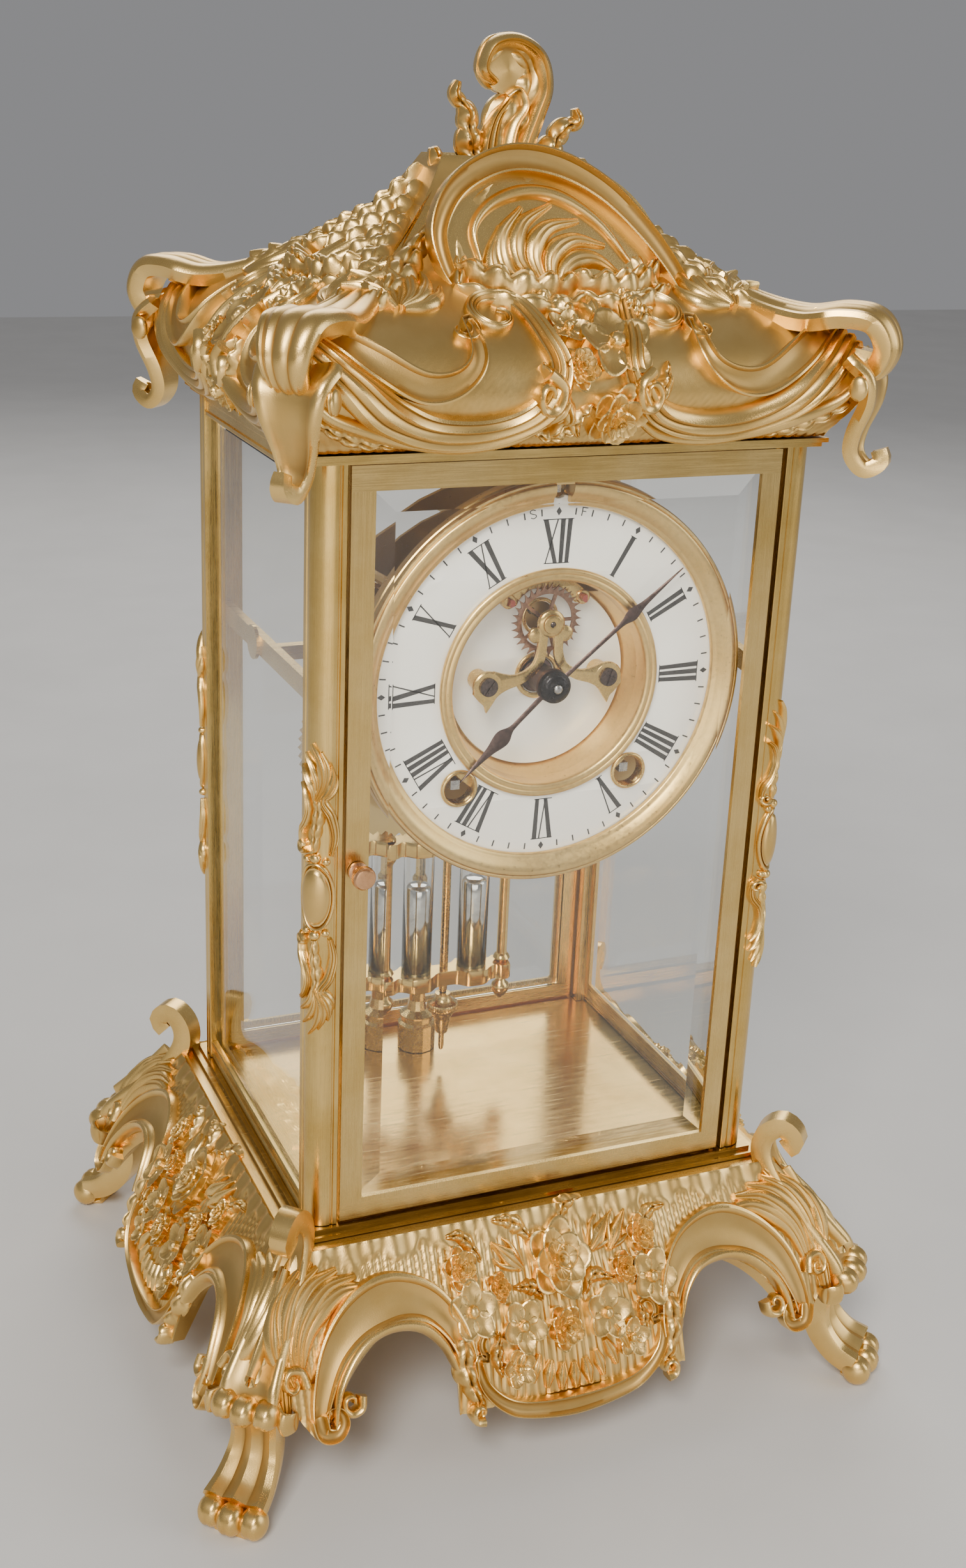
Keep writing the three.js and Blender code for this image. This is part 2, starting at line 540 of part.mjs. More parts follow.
const DISC_T = 1.2;
const DISC_HOLE = 6.2;
add('inner_disc', cut(
  turnedY([[0, RECESS_Y], [RECESS_R, RECESS_Y], [RECESS_R, RECESS_Y + DISC_T], [0, RECESS_Y + DISC_T]],
    CENTRE, 40),
  ANCHOR_SLOT, bar(DISC_HOLE, -60, 0, CENTRE, 16), bar(5.2, -60, 0, ESCAPE, 16)), ENAMEL);

// Cock that carries the front pivot of the escape wheel: a boss with an ear on either side, and
// two legs that spread to round feet with a spur below.
const BRIDGE = [-55, -53.4];
const BRIDGE_FOOT_Z = 269.3;
const BRIDGE_LEG = [[4.2, 287], [4.2, 282.9], [4.4, 279.3], [5.7, 275.7], [8.5, 273.4],
  [11.9, 272.3], [15.3, 272.7], [19.5, 274], [23.4, 266.4], [22.6, 264.2], [21.8, 260.8],
  [19.9, 263.6], [18.2, 266], [14.9, 267.9], [10.2, 269.4], [6.9, 271.2], [4.4, 273.1],
  [2.3, 276.3], [1.6, 280.3], [1.6, 287]];
function escapeBridge() {
  const [front, back] = BRIDGE;
  const side = (s) => [
    plate(shapeOf(BRIDGE_LEG.map(([x, z]) => [s * x, z])), front, back - front),
    bar(5.1, front, back, [s * BRIDGE_FOOT_X, BRIDGE_FOOT_Z], 14),
    bar(3.4, back - 0.2, RECESS_Y - GAP, [s * BRIDGE_FOOT_X, BRIDGE_FOOT_Z], 10),
    bar(2.6, front, back, [s * 5, ESCAPE_Z - 3.6], 12),
  ];
  const boss = turnedY([[0, front - 0.9], [3, front - 0.9], [4.2, front], [4.2, back], [0, back]],
    ESCAPE, 14);
  return join(...side(-1), ...side(1), boss);
}
add('escape_bridge', escapeBridge(), BRASS);

// ---- movement frame -------------------------------------------------------------------------
const arborHoles = [INTER, THIRD, ESCAPE, ANCHOR, PIN, FLY, HAMMER]
  .map((at) => bar(HOLE, -60, 10, at, 8));
const CENTRE_ARBOR = 1.6;
const WINDER_R = 2.6;
const wideHoles = [
  bar(CENTRE_ARBOR + GAP, -60, 10, CENTRE, 10),
  ...[TIME, STRIKE].map((at) => bar(WINDER_R + 2 * GAP, -60, 10, at, 10)),
];
for (const [name, back] of [['front_plate', FRONT_PLATE], ['back_plate', BACK_PLATE]]) {
  add(name, cut(bar(PLATE_R, back - PLATE_T, back, [0, PLATE_Z], 40), ...arborHoles, ...wideHoles),
    BRASS);
}
for (const [name, at] of Object.entries(PILLARS)) {
  add(`pillar_${name}`, turnedY([[0, FRONT_PLATE + GAP], [2.5, FRONT_PLATE + GAP], [2.5, -30],
    [1.8, -28], [1.8, -10], [2.5, -8], [2.5, BACK_PLATE - PLATE_T - GAP],
    [0, BACK_PLATE - PLATE_T - GAP]], at, 8), BRASS);
}

// Side rails that carry the movement from the posts.
const RAIL = { x0: 74, x1: 77, z0: 265.5, z1: 272.5 };
for (const [side, sx] of [['left', -1], ['right', 1]]) {
  const reach = POST_BACK - GAP;
  const boss = bar(6, 0, 1.2, [0, 0], 24).rotateZ(-Math.PI / 2 * sx)
    .translate(sx * RAIL.x1, 14, DIAL_Z);
  const plateEdge = Math.sqrt(PLATE_R ** 2 - (DIAL_Z - PLATE_Z + 3) ** 2);
  add(`movement_rail_${side}`, join(
    box(sx * RAIL.x0, sx * RAIL.x1, -reach, reach, RAIL.z0, RAIL.z1), boss,
    box(sx * (plateEdge + 1), sx * (RAIL.x0 + 1), -2, 2, RAIL.z0 + 1, RAIL.z1 - 1)), BRASS);
}

// ---- hands ----------------------------------------------------------------------------------
// Half widths along a hand, turned to the angle that it shows, in degrees from twelve.
function handShape(profile, degrees) {
  const a = THREE.MathUtils.degToRad(degrees);
  const place = ([along, across]) => [along * Math.sin(a) + across * Math.cos(a),
    along * Math.cos(a) - across * Math.sin(a)];
  return shapeOf([...profile, ...profile.slice(0, -1).reverse().map(([l, w]) => [l, -w])].map(place));
}
const MINUTE_HAND = { y: -59.6, t: 0.6, angle: 50,
  profile: [[2, 0.8], [30, 1], [32.5, 1.3], [35, 2.1], [37.5, 1.9], [42, 1.2], [50, 0.7], [58, 0]] };
const HOUR_HAND = { y: -58.3, t: 0.6, angle: 226,
  profile: [[4, 0.9], [19.5, 1.1], [21.5, 1.8], [24.5, 2.7], [27, 2.4], [33, 1.1], [44, 0]] };
const HAND_HUB = 4.4;
const PIPE = { inner: CENTRE_ARBOR + 0.6, outer: 3.2, boss: 5.7 };

add('minute_hand', join(
  plate(handShape(MINUTE_HAND.profile, MINUTE_HAND.angle), MINUTE_HAND.y, MINUTE_HAND.t, CENTRE),
  bar(HAND_HUB, MINUTE_HAND.y, MINUTE_HAND.y + MINUTE_HAND.t, CENTRE, 16),
  bar(CENTRE_ARBOR, -62.9, MINUTE_HAND.y + MINUTE_HAND.t, CENTRE, 12)), STEEL);
const nutRing = [[CENTRE_ARBOR + GAP, -62.4], [2.9, -62.4], [3.2, -61.4], [4.3, -61.1], [4.6, -60.6],
  [5.4, -60.4], [5.4, MINUTE_HAND.y - GAP], [CENTRE_ARBOR + GAP, MINUTE_HAND.y - GAP]];
add('hand_nut', turnedY([...nutRing, nutRing[0]], CENTRE, 16), BLACK);

const HOUR_WHEEL_SPAN = [-41.2, -40.2];
const pipeRing = [[PIPE.inner, HOUR_HAND.y - 0.2], [PIPE.outer, HOUR_HAND.y - 0.2],
  [PIPE.boss, HOUR_HAND.y + HOUR_HAND.t], [PIPE.boss, -42.4], [PIPE.outer, HOUR_WHEEL_SPAN[0]],
  [PIPE.outer, HOUR_WHEEL_SPAN[1]], [PIPE.inner, HOUR_WHEEL_SPAN[1]]];
const minutePhase = meshPhase(CANNON, CENTRE, 0, MINUTE_WHEEL, MINUTE);
const hourPhase = meshPhase(MINUTE_PINION, MINUTE, 0, HOUR_WHEEL, CENTRE);
add('hour_hand', join(
  cut(plate(handShape(HOUR_HAND.profile, HOUR_HAND.angle), HOUR_HAND.y, HOUR_HAND.t, CENTRE),
    bar(PIPE.inner, -60, 0, CENTRE, 16)),
  turnedY([...pipeRing, pipeRing[0]], CENTRE, 12),
  cut(plate(gearShape(HOUR_WHEEL, hourPhase), HOUR_WHEEL_SPAN[0], 1, CENTRE),
    bar(PIPE.inner, -60, 0, CENTRE, 16))), STEEL);

const CANNON_SPAN = [-39.8, -38.4];
add('minute_wheel', join(
  plate(gearShape(MINUTE_WHEEL, minutePhase), -39.6, 0.8, MINUTE),
  plate(gearShape(MINUTE_PINION, 0), -41.4, 1.9, MINUTE),
  bar(0.8, -42.6, FRONT_PLATE - PLATE_T - GAP, MINUTE, 10)), BRASS);

// ---- going train ----------------------------------------------------------------------------
const interPinionPhase = meshPhase(GREAT, TIME, 0, INTER_PINION, INTER);
const centrePinionPhase = meshPhase(INTER_WHEEL, INTER, 0, CENTRE_PINION, CENTRE);
const thirdPinionPhase = meshPhase(CENTRE_WHEEL, CENTRE, 0, THIRD_PINION, THIRD);
const escapePinionPhase = meshPhase(THIRD_WHEEL, THIRD, 0, ESCAPE_PINION, ESCAPE);

add('centre_wheel', join(
  plate(gearShape(CENTRE_WHEEL, 0, crossings(CENTRE_WHEEL, 3.4)), -12, 1.2, CENTRE),
  plate(gearShape(CENTRE_PINION, centrePinionPhase), -30.5, 4.6, CENTRE),
  plate(gearShape(CANNON, 0), CANNON_SPAN[0], CANNON_SPAN[1] - CANNON_SPAN[0], CENTRE),
  bar(CENTRE_ARBOR, MINUTE_HAND.y + MINUTE_HAND.t + GAP, PIVOT_ENDS[1], CENTRE, 12)), BRASS);
add('intermediate_wheel', wheelAndPinion({ at: INTER, wheel: INTER_WHEEL, wheelPhase: 0,
  wheelSpan: [-29, -27.6], pinion: INTER_PINION, pinionPhase: interPinionPhase,
  pinionSpan: [-35.2, -31.4], arbor: ARBOR, ends: [-37.6, PIVOT_ENDS[1]] }), BRASS);
add('third_wheel', wheelAndPinion({ at: THIRD, wheel: THIRD_WHEEL, wheelPhase: 0,
  wheelSpan: [-20.4, -19.2], pinion: THIRD_PINION, pinionPhase: thirdPinionPhase,
  pinionSpan: [-13, -10], arbor: 0.9, ends: [-37.6, PIVOT_ENDS[1]] }), BRASS);

// Escape wheel: thin pointed teeth that lean the way the wheel turns, five crossings.
const ESCAPE_TEETH = 30;
const ESCAPE_ROOT = 10.4;
function escapeShape() {
  const step = (2 * Math.PI) / ESCAPE_TEETH;
  const profile = [[ESCAPE_R, 0], [ESCAPE_R - 1.2, 0.24], [ESCAPE_ROOT, 0.3], [ESCAPE_ROOT, 0.8]];
  const points = Array.from({ length: ESCAPE_TEETH }, (_, i) => profile.map(([r, f]) => {
    const a = (i + f) * step;
    return [r * Math.cos(a), r * Math.sin(a)];
  })).flat();
  const shape = shapeOf(points);
  for (const w of windows(5, 3.4, 9, 1)) {
    shape.holes.push(new THREE.Path(w.map(([x, y]) => new THREE.Vector2(x, y))));
  }
  return shape;
}
add('escape_wheel', join(
  plate(escapeShape(), -50.9, 0.7, ESCAPE),
  plate(gearShape(ESCAPE_PINION, escapePinionPhase), -21.6, 3.6, ESCAPE),
  bar(0.8, BRIDGE[1] + GAP, PIVOT_ENDS[1], ESCAPE, 10)), BRONZE);

// Anchor: a hub, two arms round to the pallet stones, and the crutch behind the back plate.
function palletArm(s) {
  const [px, pz] = PALLET;
  return plate(shapeOf([[0, 2.2], [s * 5, 1.8], [s * 9.6, -0.6], [s * (px - 0.8), pz + 2.2],
    [s * (px + 1.6), pz + 0.6], [s * (px + 0.4), pz - 2.2], [s * (px - 3), pz - 1.4], [s * 8.2, -3.4],
    [s * 4.4, -1], [0, -2.2]]), -49.3, 1.3, ANCHOR);
}
const STONE_R = 1.35;
const FORK = { gap: 2.3, z0: 266, z1: 270, y: 29 };
add('pallet_anchor', join(
  palletArm(1), palletArm(-1),
  ...[1, -1].flatMap((s) => {
    const at = [s * PALLET[0], ANCHOR_Z + PALLET[1]];
    return [bar(2.4, -49.4, -47, at, 16), bar(STONE_R, -52, -49.2, at, 12)];
  }),
  bar(0.8, -49.4, 7, ANCHOR, 10),
  bar(2.4, 3.6, 6.4, ANCHOR, 16),
  box(-1.2, 1.2, 4, 6, FORK.z1 - 1, ANCHOR_Z),
  box(-FORK.gap - 1.6, FORK.gap + 1.6, 4, 6.4, FORK.z0, FORK.z1),
  ...[1, -1].map((s) => box(s * FORK.gap, s * (FORK.gap + 1.6), 6, FORK.y, FORK.z0, FORK.z1))), BRASS);

const GREAT_T = 2;
const DRUM_R = 21;
function barrel(at, wheelFront, drumFront, drumBack) {
  return cut(join(
    plate(gearShape(GREAT, 0), wheelFront, GREAT_T, at),
    bar(DRUM_R, drumFront, drumBack, at, 32)), bar(WINDER_R + 2 * GAP, -60, 10, at, 10));
}
add('time_barrel', barrel(TIME, -34.6, -33, -14), BRASS);
add('strike_barrel', barrel(STRIKE, -6.2, -24.8, -5.8), BRASS);
for (const [name, at] of [['time', TIME], ['strike', STRIKE]]) {
  const square = box(at[0] - 1.6, at[0] + 1.6, -52.6, -41, at[1] - 1.6, at[1] + 1.6);
  add(`${name}_winding_arbor`, join(bar(WINDER_R, -41.2, PIVOT_ENDS[1], at, 12), square), STEEL);
}

// ---- striking -------------------------------------------------------------------------------
const pinPinionPhase = meshPhase(GREAT, STRIKE, 0, PIN_PINION, PIN);
const flyPinionPhase = meshPhase(PIN_WHEEL, PIN, 0, FLY_PINION, FLY);
add('strike_pin_wheel', wheelAndPinion({ at: PIN, wheel: PIN_WHEEL, wheelPhase: 0,
  wheelSpan: [-15.4, -14.2], pinion: PIN_PINION, pinionPhase: pinPinionPhase,
  pinionSpan: [-7.4, -3.4], arbor: ARBOR, ends: [-37.6, PIVOT_ENDS[1]] }), BRASS);
add('strike_fly', join(
  plate(gearShape(FLY_PINION, flyPinionPhase), -16.6, 3.6, FLY),
  box(-5.5, 5.5, -33, -21, -0.4, 0.4).translate(FLY[0], 0, FLY[1]),
  bar(1.4, -33.5, -20.5, FLY, 12),
  bar(0.8, -37.6, PIVOT_ENDS[1], FLY, 10)), BRASS);

const HEAD = { x: -43.6, y: GONG.y, z: 241 };
add('strike_hammer', join(
  bar(0.9, -37.6, 8, HAMMER, 10),
  bar(2.6, 4.4, 7.4, HAMMER, 14),
  plate(shapeOf([[HAMMER[0] - 1.2, HAMMER[1]], [HAMMER[0] + 1.2, HAMMER[1]], [HEAD.x + 1.2, HEAD.z],
    [HEAD.x - 1.2, HEAD.z]]), 4.8, 2.2),
  bar(1.3, 5, HEAD.y + 1, [HEAD.x, HEAD.z], 10),
  bar(4, 0, 11, [0, 0], 16).rotateZ(-Math.PI / 2).translate(HEAD.x - 5.6, HEAD.y, HEAD.z)), BRASS);

// Gong: a flat spiral of wire on a turned pillar.
const WIRE_R = 1.3;
const GONG_TURNS = 2.6;
const GONG_PITCH = 5;
const STAND = { x: -4, y: 43 };
class Spiral extends THREE.Curve {
  getPoint(t) {
    const a = 2 * Math.PI * GONG_TURNS * t + Math.PI;
    const r = GONG.r - GONG_PITCH * GONG_TURNS * t;
    return new THREE.Vector3(GONG.x + r * Math.cos(a), GONG.y, GONG.z + r * Math.sin(a));
  }
}
const wire = shapeOf(circle(WIRE_R, 6));
const spiral = new Spiral();
const inner = spiral.getPoint(1);
add('gong_coil', join(
  new THREE.ExtrudeGeometry(wire, { extrudePath: spiral, steps: 44, bevelEnabled: false }),
  box(inner.x - 2.4, inner.x + 2.4, GONG.y - 2.6, GONG.y + 2.6, inner.z - 2.4, inner.z + 2.4)), STEEL);
add('gong_stand', join(
  turnedZ([[0, FLOOR_Z + GAP], [7.6, FLOOR_Z + GAP], [7.6, 96], [6.4, 97], [6.4, 99], [7, 100], [4, 102],
    [3.2, 106], [3.2, 150], [4.6, 152], [4.6, 158], [2.8, 160], [2.4, inner.z + 3], [0, inner.z + 3]],
  [STAND.x, STAND.y], 12),
  box(STAND.x - 1, inner.x + 2.4, STAND.y - 2, GONG.y - 2.6 - GAP, inner.z - 2.4, inner.z + 2.4)), BRASS);

// ---- pendulum -------------------------------------------------------------------------------
const SPRING = { half: 2.6, t: 0.2 };
const COCK = { z0: 304, z1: 316, arm: [5.4, 8.4], back: 33 };
const cockArms = [1, -1].map((s) => box(s * COCK.arm[0], s * COCK.arm[1], 2, COCK.back, 309, 314.5));
const cockBody = join(
  box(-13, 13, BACK_PLATE + GAP, 3.2, COCK.z0, COCK.z1), ...cockArms,
  box(-8.4, 8.4, PEND_Y - 3, COCK.back, 309.5, 314),
  box(-3.4, 3.4, PEND_Y + 3, COCK.back, 313, REGULATE_Z + 4));
add('suspension_cock', cut(cockBody, bar(ARBOR + GAP, PEND_Y, 40, [0, REGULATE_Z], 12)), BRASS);
const CHOPS = { z0: 302.6, z1: 307.6, half: 4.2, deep: 2.4 };
add('suspension_chops', cut(
  box(-CHOPS.half, CHOPS.half, PEND_Y - CHOPS.deep, PEND_Y + CHOPS.deep, CHOPS.z0, CHOPS.z1),
  box(-SPRING.half - 2 * GAP, SPRING.half + 2 * GAP, PEND_Y - SPRING.t - GAP, PEND_Y + SPRING.t + GAP,
    CHOPS.z0 - 1, CHOPS.z1 + 1)), STEEL);
add('regulator_arbor', join(
  bar(ARBOR, -50, COCK.back + 1, [0, REGULATE_Z], 12),
  box(-1.3, 1.3, -54, -49.6, REGULATE_Z - 1.3, REGULATE_Z + 1.3)), STEEL);

add('pendulum_rod', join(
  box(-SPRING.half, SPRING.half, PEND_Y - SPRING.t, PEND_Y + SPRING.t, 293, 308),
  box(-3, 3, PEND_Y - 1.4, PEND_Y + 1.4, 289, 294.5),
  post(1.65, PEND_LOW - 4, 290, [0, PEND_Y], 12),
  post(1.1, PEND_TIP, PEND_LOW - 3, [0, PEND_Y], 10)), BRASS);

// The frame that holds the two vials: scalloped plates on two turned posts.
function scallop(z, thickness, bore) {
  const n = 13;
  const outline = Array.from({ length: n }, (_, i) => {
    const x = -27.6 + (55.2 * i) / (n - 1);
    const depth = 3.6 + 3.9 * Math.max(Math.exp(-(((Math.abs(x) - VIAL_X) / 6) ** 4)),
      0.45 * Math.exp(-(((Math.abs(x) - PEND_POST_X) / 3) ** 4)));
    return [x, depth];
  });
  const shape = shapeOf([...outline, ...outline.slice().reverse().map(([x, d]) => [x, -d])]);
  const slab = new THREE.ExtrudeGeometry(shape, { depth: thickness, bevelEnabled: false })
    .translate(0, PEND_Y, z);
  return cut(slab, post(1.65 + GAP, z - 1, z + thickness + 1, [0, PEND_Y], 12),
    ...(bore ? [1, -1].map((s) => post(VIAL_R + GAP, bore, z + thickness + 1,
      [s * VIAL_X, PEND_Y], 14)) : []));
}
const FRAME_T = 6;
const postProfile = [[0, PEND_LOW - 11], [1, PEND_LOW - 10], [3.6, PEND_LOW - 6.4], [3.6, PEND_LOW - 4.4],
  [1.8, PEND_LOW - 2.4], [1.8, PEND_LOW - 0.2], [2, PEND_LOW + FRAME_T], [3.4, PEND_LOW + FRAME_T + 1.4],
  [2.1, PEND_LOW + FRAME_T + 4], [2.1, PEND_TOP - 4], [3.2, PEND_TOP - 1], [3, PEND_TOP + FRAME_T + 0.4],
  [1.8, PEND_TOP + FRAME_T + 2], [2.8, PEND_TOP + FRAME_T + 4.4], [0, PEND_TOP + FRAME_T + 8]];
add('pendulum_frame', join(
  scallop(PEND_LOW, FRAME_T, PEND_LOW + 2), scallop(PEND_TOP, FRAME_T, PEND_TOP - 1),
  ...[1, -1].map((s) => turnedZ(postProfile, [s * PEND_POST_X, PEND_Y], 8))), BRASS);
for (const [side, s] of [['left', -1], ['right', 1]]) {
  add(`mercury_vial_${side}`, post(VIAL_R, PEND_LOW + 2 + GAP, PEND_TOP + FRAME_T - 1,
    [s * VIAL_X, PEND_Y], 14), MERCURY);
}
const nutProfile = [[1.1 + GAP, PEND_LOW - 22], [2.4, PEND_LOW - 21], [3.4, PEND_LOW - 15],
  [4.2, PEND_LOW - 13.5], [6.2, PEND_LOW - 11], [6.2, PEND_LOW - 8.6], [3, PEND_LOW - 6],
  [3, PEND_LOW - 4.4], [1.1 + GAP, PEND_LOW - 4.4]];
add('rating_nut', turnedZ([...nutProfile, nutProfile[0]], [0, PEND_Y], 14), BRASS);

export default clock;
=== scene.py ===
import json
import math

import bmesh
import bpy
import numpy as np
from mathutils import Matrix, Vector

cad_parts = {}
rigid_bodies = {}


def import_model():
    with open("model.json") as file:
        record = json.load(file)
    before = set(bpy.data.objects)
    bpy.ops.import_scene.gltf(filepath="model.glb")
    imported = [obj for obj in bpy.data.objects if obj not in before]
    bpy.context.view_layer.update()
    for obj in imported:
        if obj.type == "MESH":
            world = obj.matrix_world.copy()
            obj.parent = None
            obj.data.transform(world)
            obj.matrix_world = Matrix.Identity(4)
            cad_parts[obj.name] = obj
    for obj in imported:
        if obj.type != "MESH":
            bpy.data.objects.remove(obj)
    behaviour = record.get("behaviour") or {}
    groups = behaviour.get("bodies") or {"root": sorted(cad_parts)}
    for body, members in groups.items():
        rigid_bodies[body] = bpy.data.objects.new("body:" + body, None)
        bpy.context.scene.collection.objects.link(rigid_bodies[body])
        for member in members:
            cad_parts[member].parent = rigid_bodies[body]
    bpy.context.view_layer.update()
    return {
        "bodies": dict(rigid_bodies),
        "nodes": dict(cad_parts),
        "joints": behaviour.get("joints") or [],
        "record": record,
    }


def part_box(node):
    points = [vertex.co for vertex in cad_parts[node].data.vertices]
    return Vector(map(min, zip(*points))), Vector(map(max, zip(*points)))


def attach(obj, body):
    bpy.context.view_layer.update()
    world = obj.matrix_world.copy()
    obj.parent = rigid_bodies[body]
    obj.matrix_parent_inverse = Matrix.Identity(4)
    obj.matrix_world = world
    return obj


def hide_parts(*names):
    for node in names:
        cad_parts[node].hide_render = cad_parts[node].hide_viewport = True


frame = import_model()

# Lengths below are in millimetres, in the clock's own frame; MM turns them into metres.
MM = 0.001


def span(node):
    """Lowest and highest corner of a CAD node, in millimetres."""
    low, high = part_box(node)
    return np.array(low) / MM, np.array(high) / MM


def middle(node):
    """Centre of a CAD node's box, in millimetres."""
    low, high = span(node)
    return (low + high) / 2


CASE_X, CASE_Y = span("post_front_right")[1][0], span("post_rear_right")[1][1]
DIAL_Z = middle("inner_disc")[2]
ESCAPE_Z = middle("escape_wheel")[2]
ENAMEL_Y = span("chapter_ring")[0][1]
RECESS_Y = span("inner_disc")[0][1]
PENDULUM_Y = middle("pendulum_rod")[1]


# ---- camera, light, floor -------------------------------------------------------------------
def make_camera():
    """The eye looks down at the clock from the left, turned a little about its own axis."""
    azimuth, elevation, roll = (math.radians(a) for a in (-23.63, 20.59, 2.51))
    eye = Vector((-257.2, -593.8, 456.2)) * MM
    back = Vector((math.sin(azimuth) * math.cos(elevation),
                   -math.cos(azimuth) * math.cos(elevation), math.sin(elevation)))
    right = (-back).cross(Vector((0, 0, 1))).normalized()
    up = right.cross(-back)
    turned_right = math.cos(roll) * right + math.sin(roll) * up
    turned_up = math.cos(roll) * up - math.sin(roll) * right
    data = bpy.data.cameras.new("camera")
    data.sensor_fit = "VERTICAL"
    data.sensor_height = 36
    data.lens = 43.53
    data.clip_start = 0.01
    camera = bpy.data.objects.new("camera", data)
    bpy.context.scene.collection.objects.link(camera)
    rotation = Matrix((turned_right, turned_up, back)).transposed()
    camera.matrix_world = Matrix.Translation(eye) @ rotation.to_4x4()
    bpy.context.scene.camera = camera


def soft_light(name, place, size, power, tint, aim=(0, 0, 0.24)):
    """A rectangular lamp that points at `aim`; places and sizes are in metres."""
    data = bpy.data.lights.new(name, "AREA")
    data.shape = "RECTANGLE"
    data.size, data.size_y = size
    data.energy = power
    data.color = tint
    light = bpy.data.objects.new(name, data)
    light.location = place
    light.rotation_euler = (Vector(aim) - Vector(place)).to_track_quat("-Z", "Y").to_euler()
    bpy.context.scene.collection.objects.link(light)


def make_stage():
    """A grey studio with four soft lamps over a plain pale floor."""
    world = bpy.data.worlds.new("studio")
    world.use_nodes = True
    world.node_tree.nodes["Background"].inputs["Color"].default_value = (0.62, 0.62, 0.64, 1)
    world.node_tree.nodes["Background"].inputs["Strength"].default_value = 0.42
    bpy.context.scene.world = world
    soft_light("key", (-0.9, -1.3, 1.5), (0.6, 0.8), 34, (1, 0.96, 0.9))
    soft_light("fill", (1.4, -0.9, 0.8), (0.9, 1.2), 9, (0.95, 0.97, 1))
    soft_light("rim", (0.5, 1.3, 1.2), (1.2, 0.8), 12, (1, 0.98, 0.95))
    soft_light("low", (-0.5, -1.5, 0.25), (1.4, 0.3), 5, (1, 0.95, 0.88), (0, 0, 0.1))
    side = 3.0
    mesh = bpy.data.meshes.new("floor")
    mesh.from_pydata([(-side, -side, 0), (side, -side, 0), (side, side, 0), (-side, side, 0)], [],
                     [(0, 1, 2, 3)])
    floor = bpy.data.objects.new("floor", mesh)
    bpy.context.scene.collection.objects.link(floor)
    floor.data.materials.append(floor_material())


# ---- materials ------------------------------------------------------------------------------
UPRIGHT = (2.2, 2.2, 0.05)
ACROSS = (0.05, 2.2, 2.2)
LEVEL = (0.05, 0.6, 2.2)


class Look:
    """A Principled material and short ways to add nodes to it."""

    def __init__(self, name, roughness=0.4, metallic=0.0, **sockets):
        self.material = bpy.data.materials.new(name)
        self.material.use_nodes = True
        self.tree = self.material.node_tree
        self.shader = self.tree.nodes["Principled BSDF"]
        self.shader.inputs["Roughness"].default_value = roughness
        self.shader.inputs["Metallic"].default_value = metallic
        for socket, value in sockets.items():
            self.shader.inputs[socket.replace("_", " ")].default_value = value

    def node(self, kind, settings=(), **inputs):
        made = self.tree.nodes.new(kind)
        for key, value in dict(settings).items():
            setattr(made, key, value)
        for socket, value in inputs.items():
            target = made.inputs[int(socket[1:])] if socket[0] == "i" and socket[1:].isdigit() \
                else made.inputs[socket.replace("_", " ")]
            if isinstance(value, bpy.types.NodeSocket):
                self.tree.links.new(value, target)
            else:
                target.default_value = value
        return made

    def place(self, stretch=(1, 1, 1)):
        """Object coordinates in millimetres, squeezed by `stretch`."""
        coordinates = self.node("ShaderNodeTexCoord").outputs["Object"]
        return self.node("ShaderNodeMapping", Vector=coordinates,
                         Scale=[s / MM for s in stretch]).outputs["Vector"]

    def noise(self, scale, detail=4, stretch=(1, 1, 1), rough=0.6):
        return self.node("ShaderNodeTexNoise", Vector=self.place(stretch), Scale=scale,
                         Detail=detail, Roughness=rough).outputs["Fac"]

    def ramp(self, value, stops):
        made = self.node("ShaderNodeValToRGB", Fac=value)
        elements = made.color_ramp.elements
        while len(elements) < len(stops):
            elements.new(0.5)
        for element, (position, colour) in zip(elements, stops):
            element.position = position
            element.color = (*colour, 1) if len(colour) == 3 else colour
        return made.outputs["Color"]

    def math(self, operation, a, b):
        return self.node("ShaderNodeMath", {"operation": operation}, i0=a, i1=b).outputs[0]

    def blend(self, factor, a, b, mode="MIX"):
        made = self.node("ShaderNodeMix", {"data_type": "RGBA", "blend_type": mode}, i0=factor)
        for socket, value in ((made.inputs[6], a), (made.inputs[7], b)):
            if isinstance(value, bpy.types.NodeSocket):
                self.tree.links.new(value, socket)
            else:
                socket.default_value = (*value, 1)
        return made.outputs[2]

    def range(self, value, low, high, start=0.0, end=1.0):
        return self.node("ShaderNodeMapRange", Value=value, From_Min=start, From_Max=end,
                         To_Min=low, To_Max=high).outputs["Result"]

    def link(self, socket, value):
        self.tree.links.new(value, self.shader.inputs[socket])

    def bump(self, height, strength, distance):
        made = self.node("ShaderNodeBump", Height=height, Strength=strength,
                         Distance=distance * MM)
        self.link("Normal", made.outputs["Normal"])

    def hollows(self):
        """0 in tight hollows, 1 on sharp edges."""
        return self.node("ShaderNodeNewGeometry").outputs["Pointiness"]


def gilt():
    """Matt gilt casting: grainy ground, burnished high points, painted shade in the hollows and lighter sharp
    edges.
    """
    look = Look("gilt", 0.36, 1.0)
    grain = look.noise(2.6, 3)
    tone = look.ramp(look.noise(0.05, 4), [(0.3, (0.86, 0.57, 0.19)), (0.7, (0.97, 0.69, 0.27))])
    # Painted shade: the colour is darkened in tight hollows read from Pointiness, and lightened on sharp
    # edges.
    painted_hollow_shade = look.ramp(look.hollows(), [(0.42, (0.17, 0.11, 0.05)), (0.49, (0.72, 0.68, 0.60)),
                                      (0.57, (1, 0.97, 0.90))])
    look.link("Base Color", look.blend(0.85, tone, painted_hollow_shade, "MULTIPLY"))
    polish = look.range(look.hollows(), 0.50, 0.24, 0.45, 0.56)
    look.link("Roughness", look.math("ADD", polish, look.range(grain, -0.06, 0.08)))
    look.bump(grain, 0.22, 0.18)
    return look.material


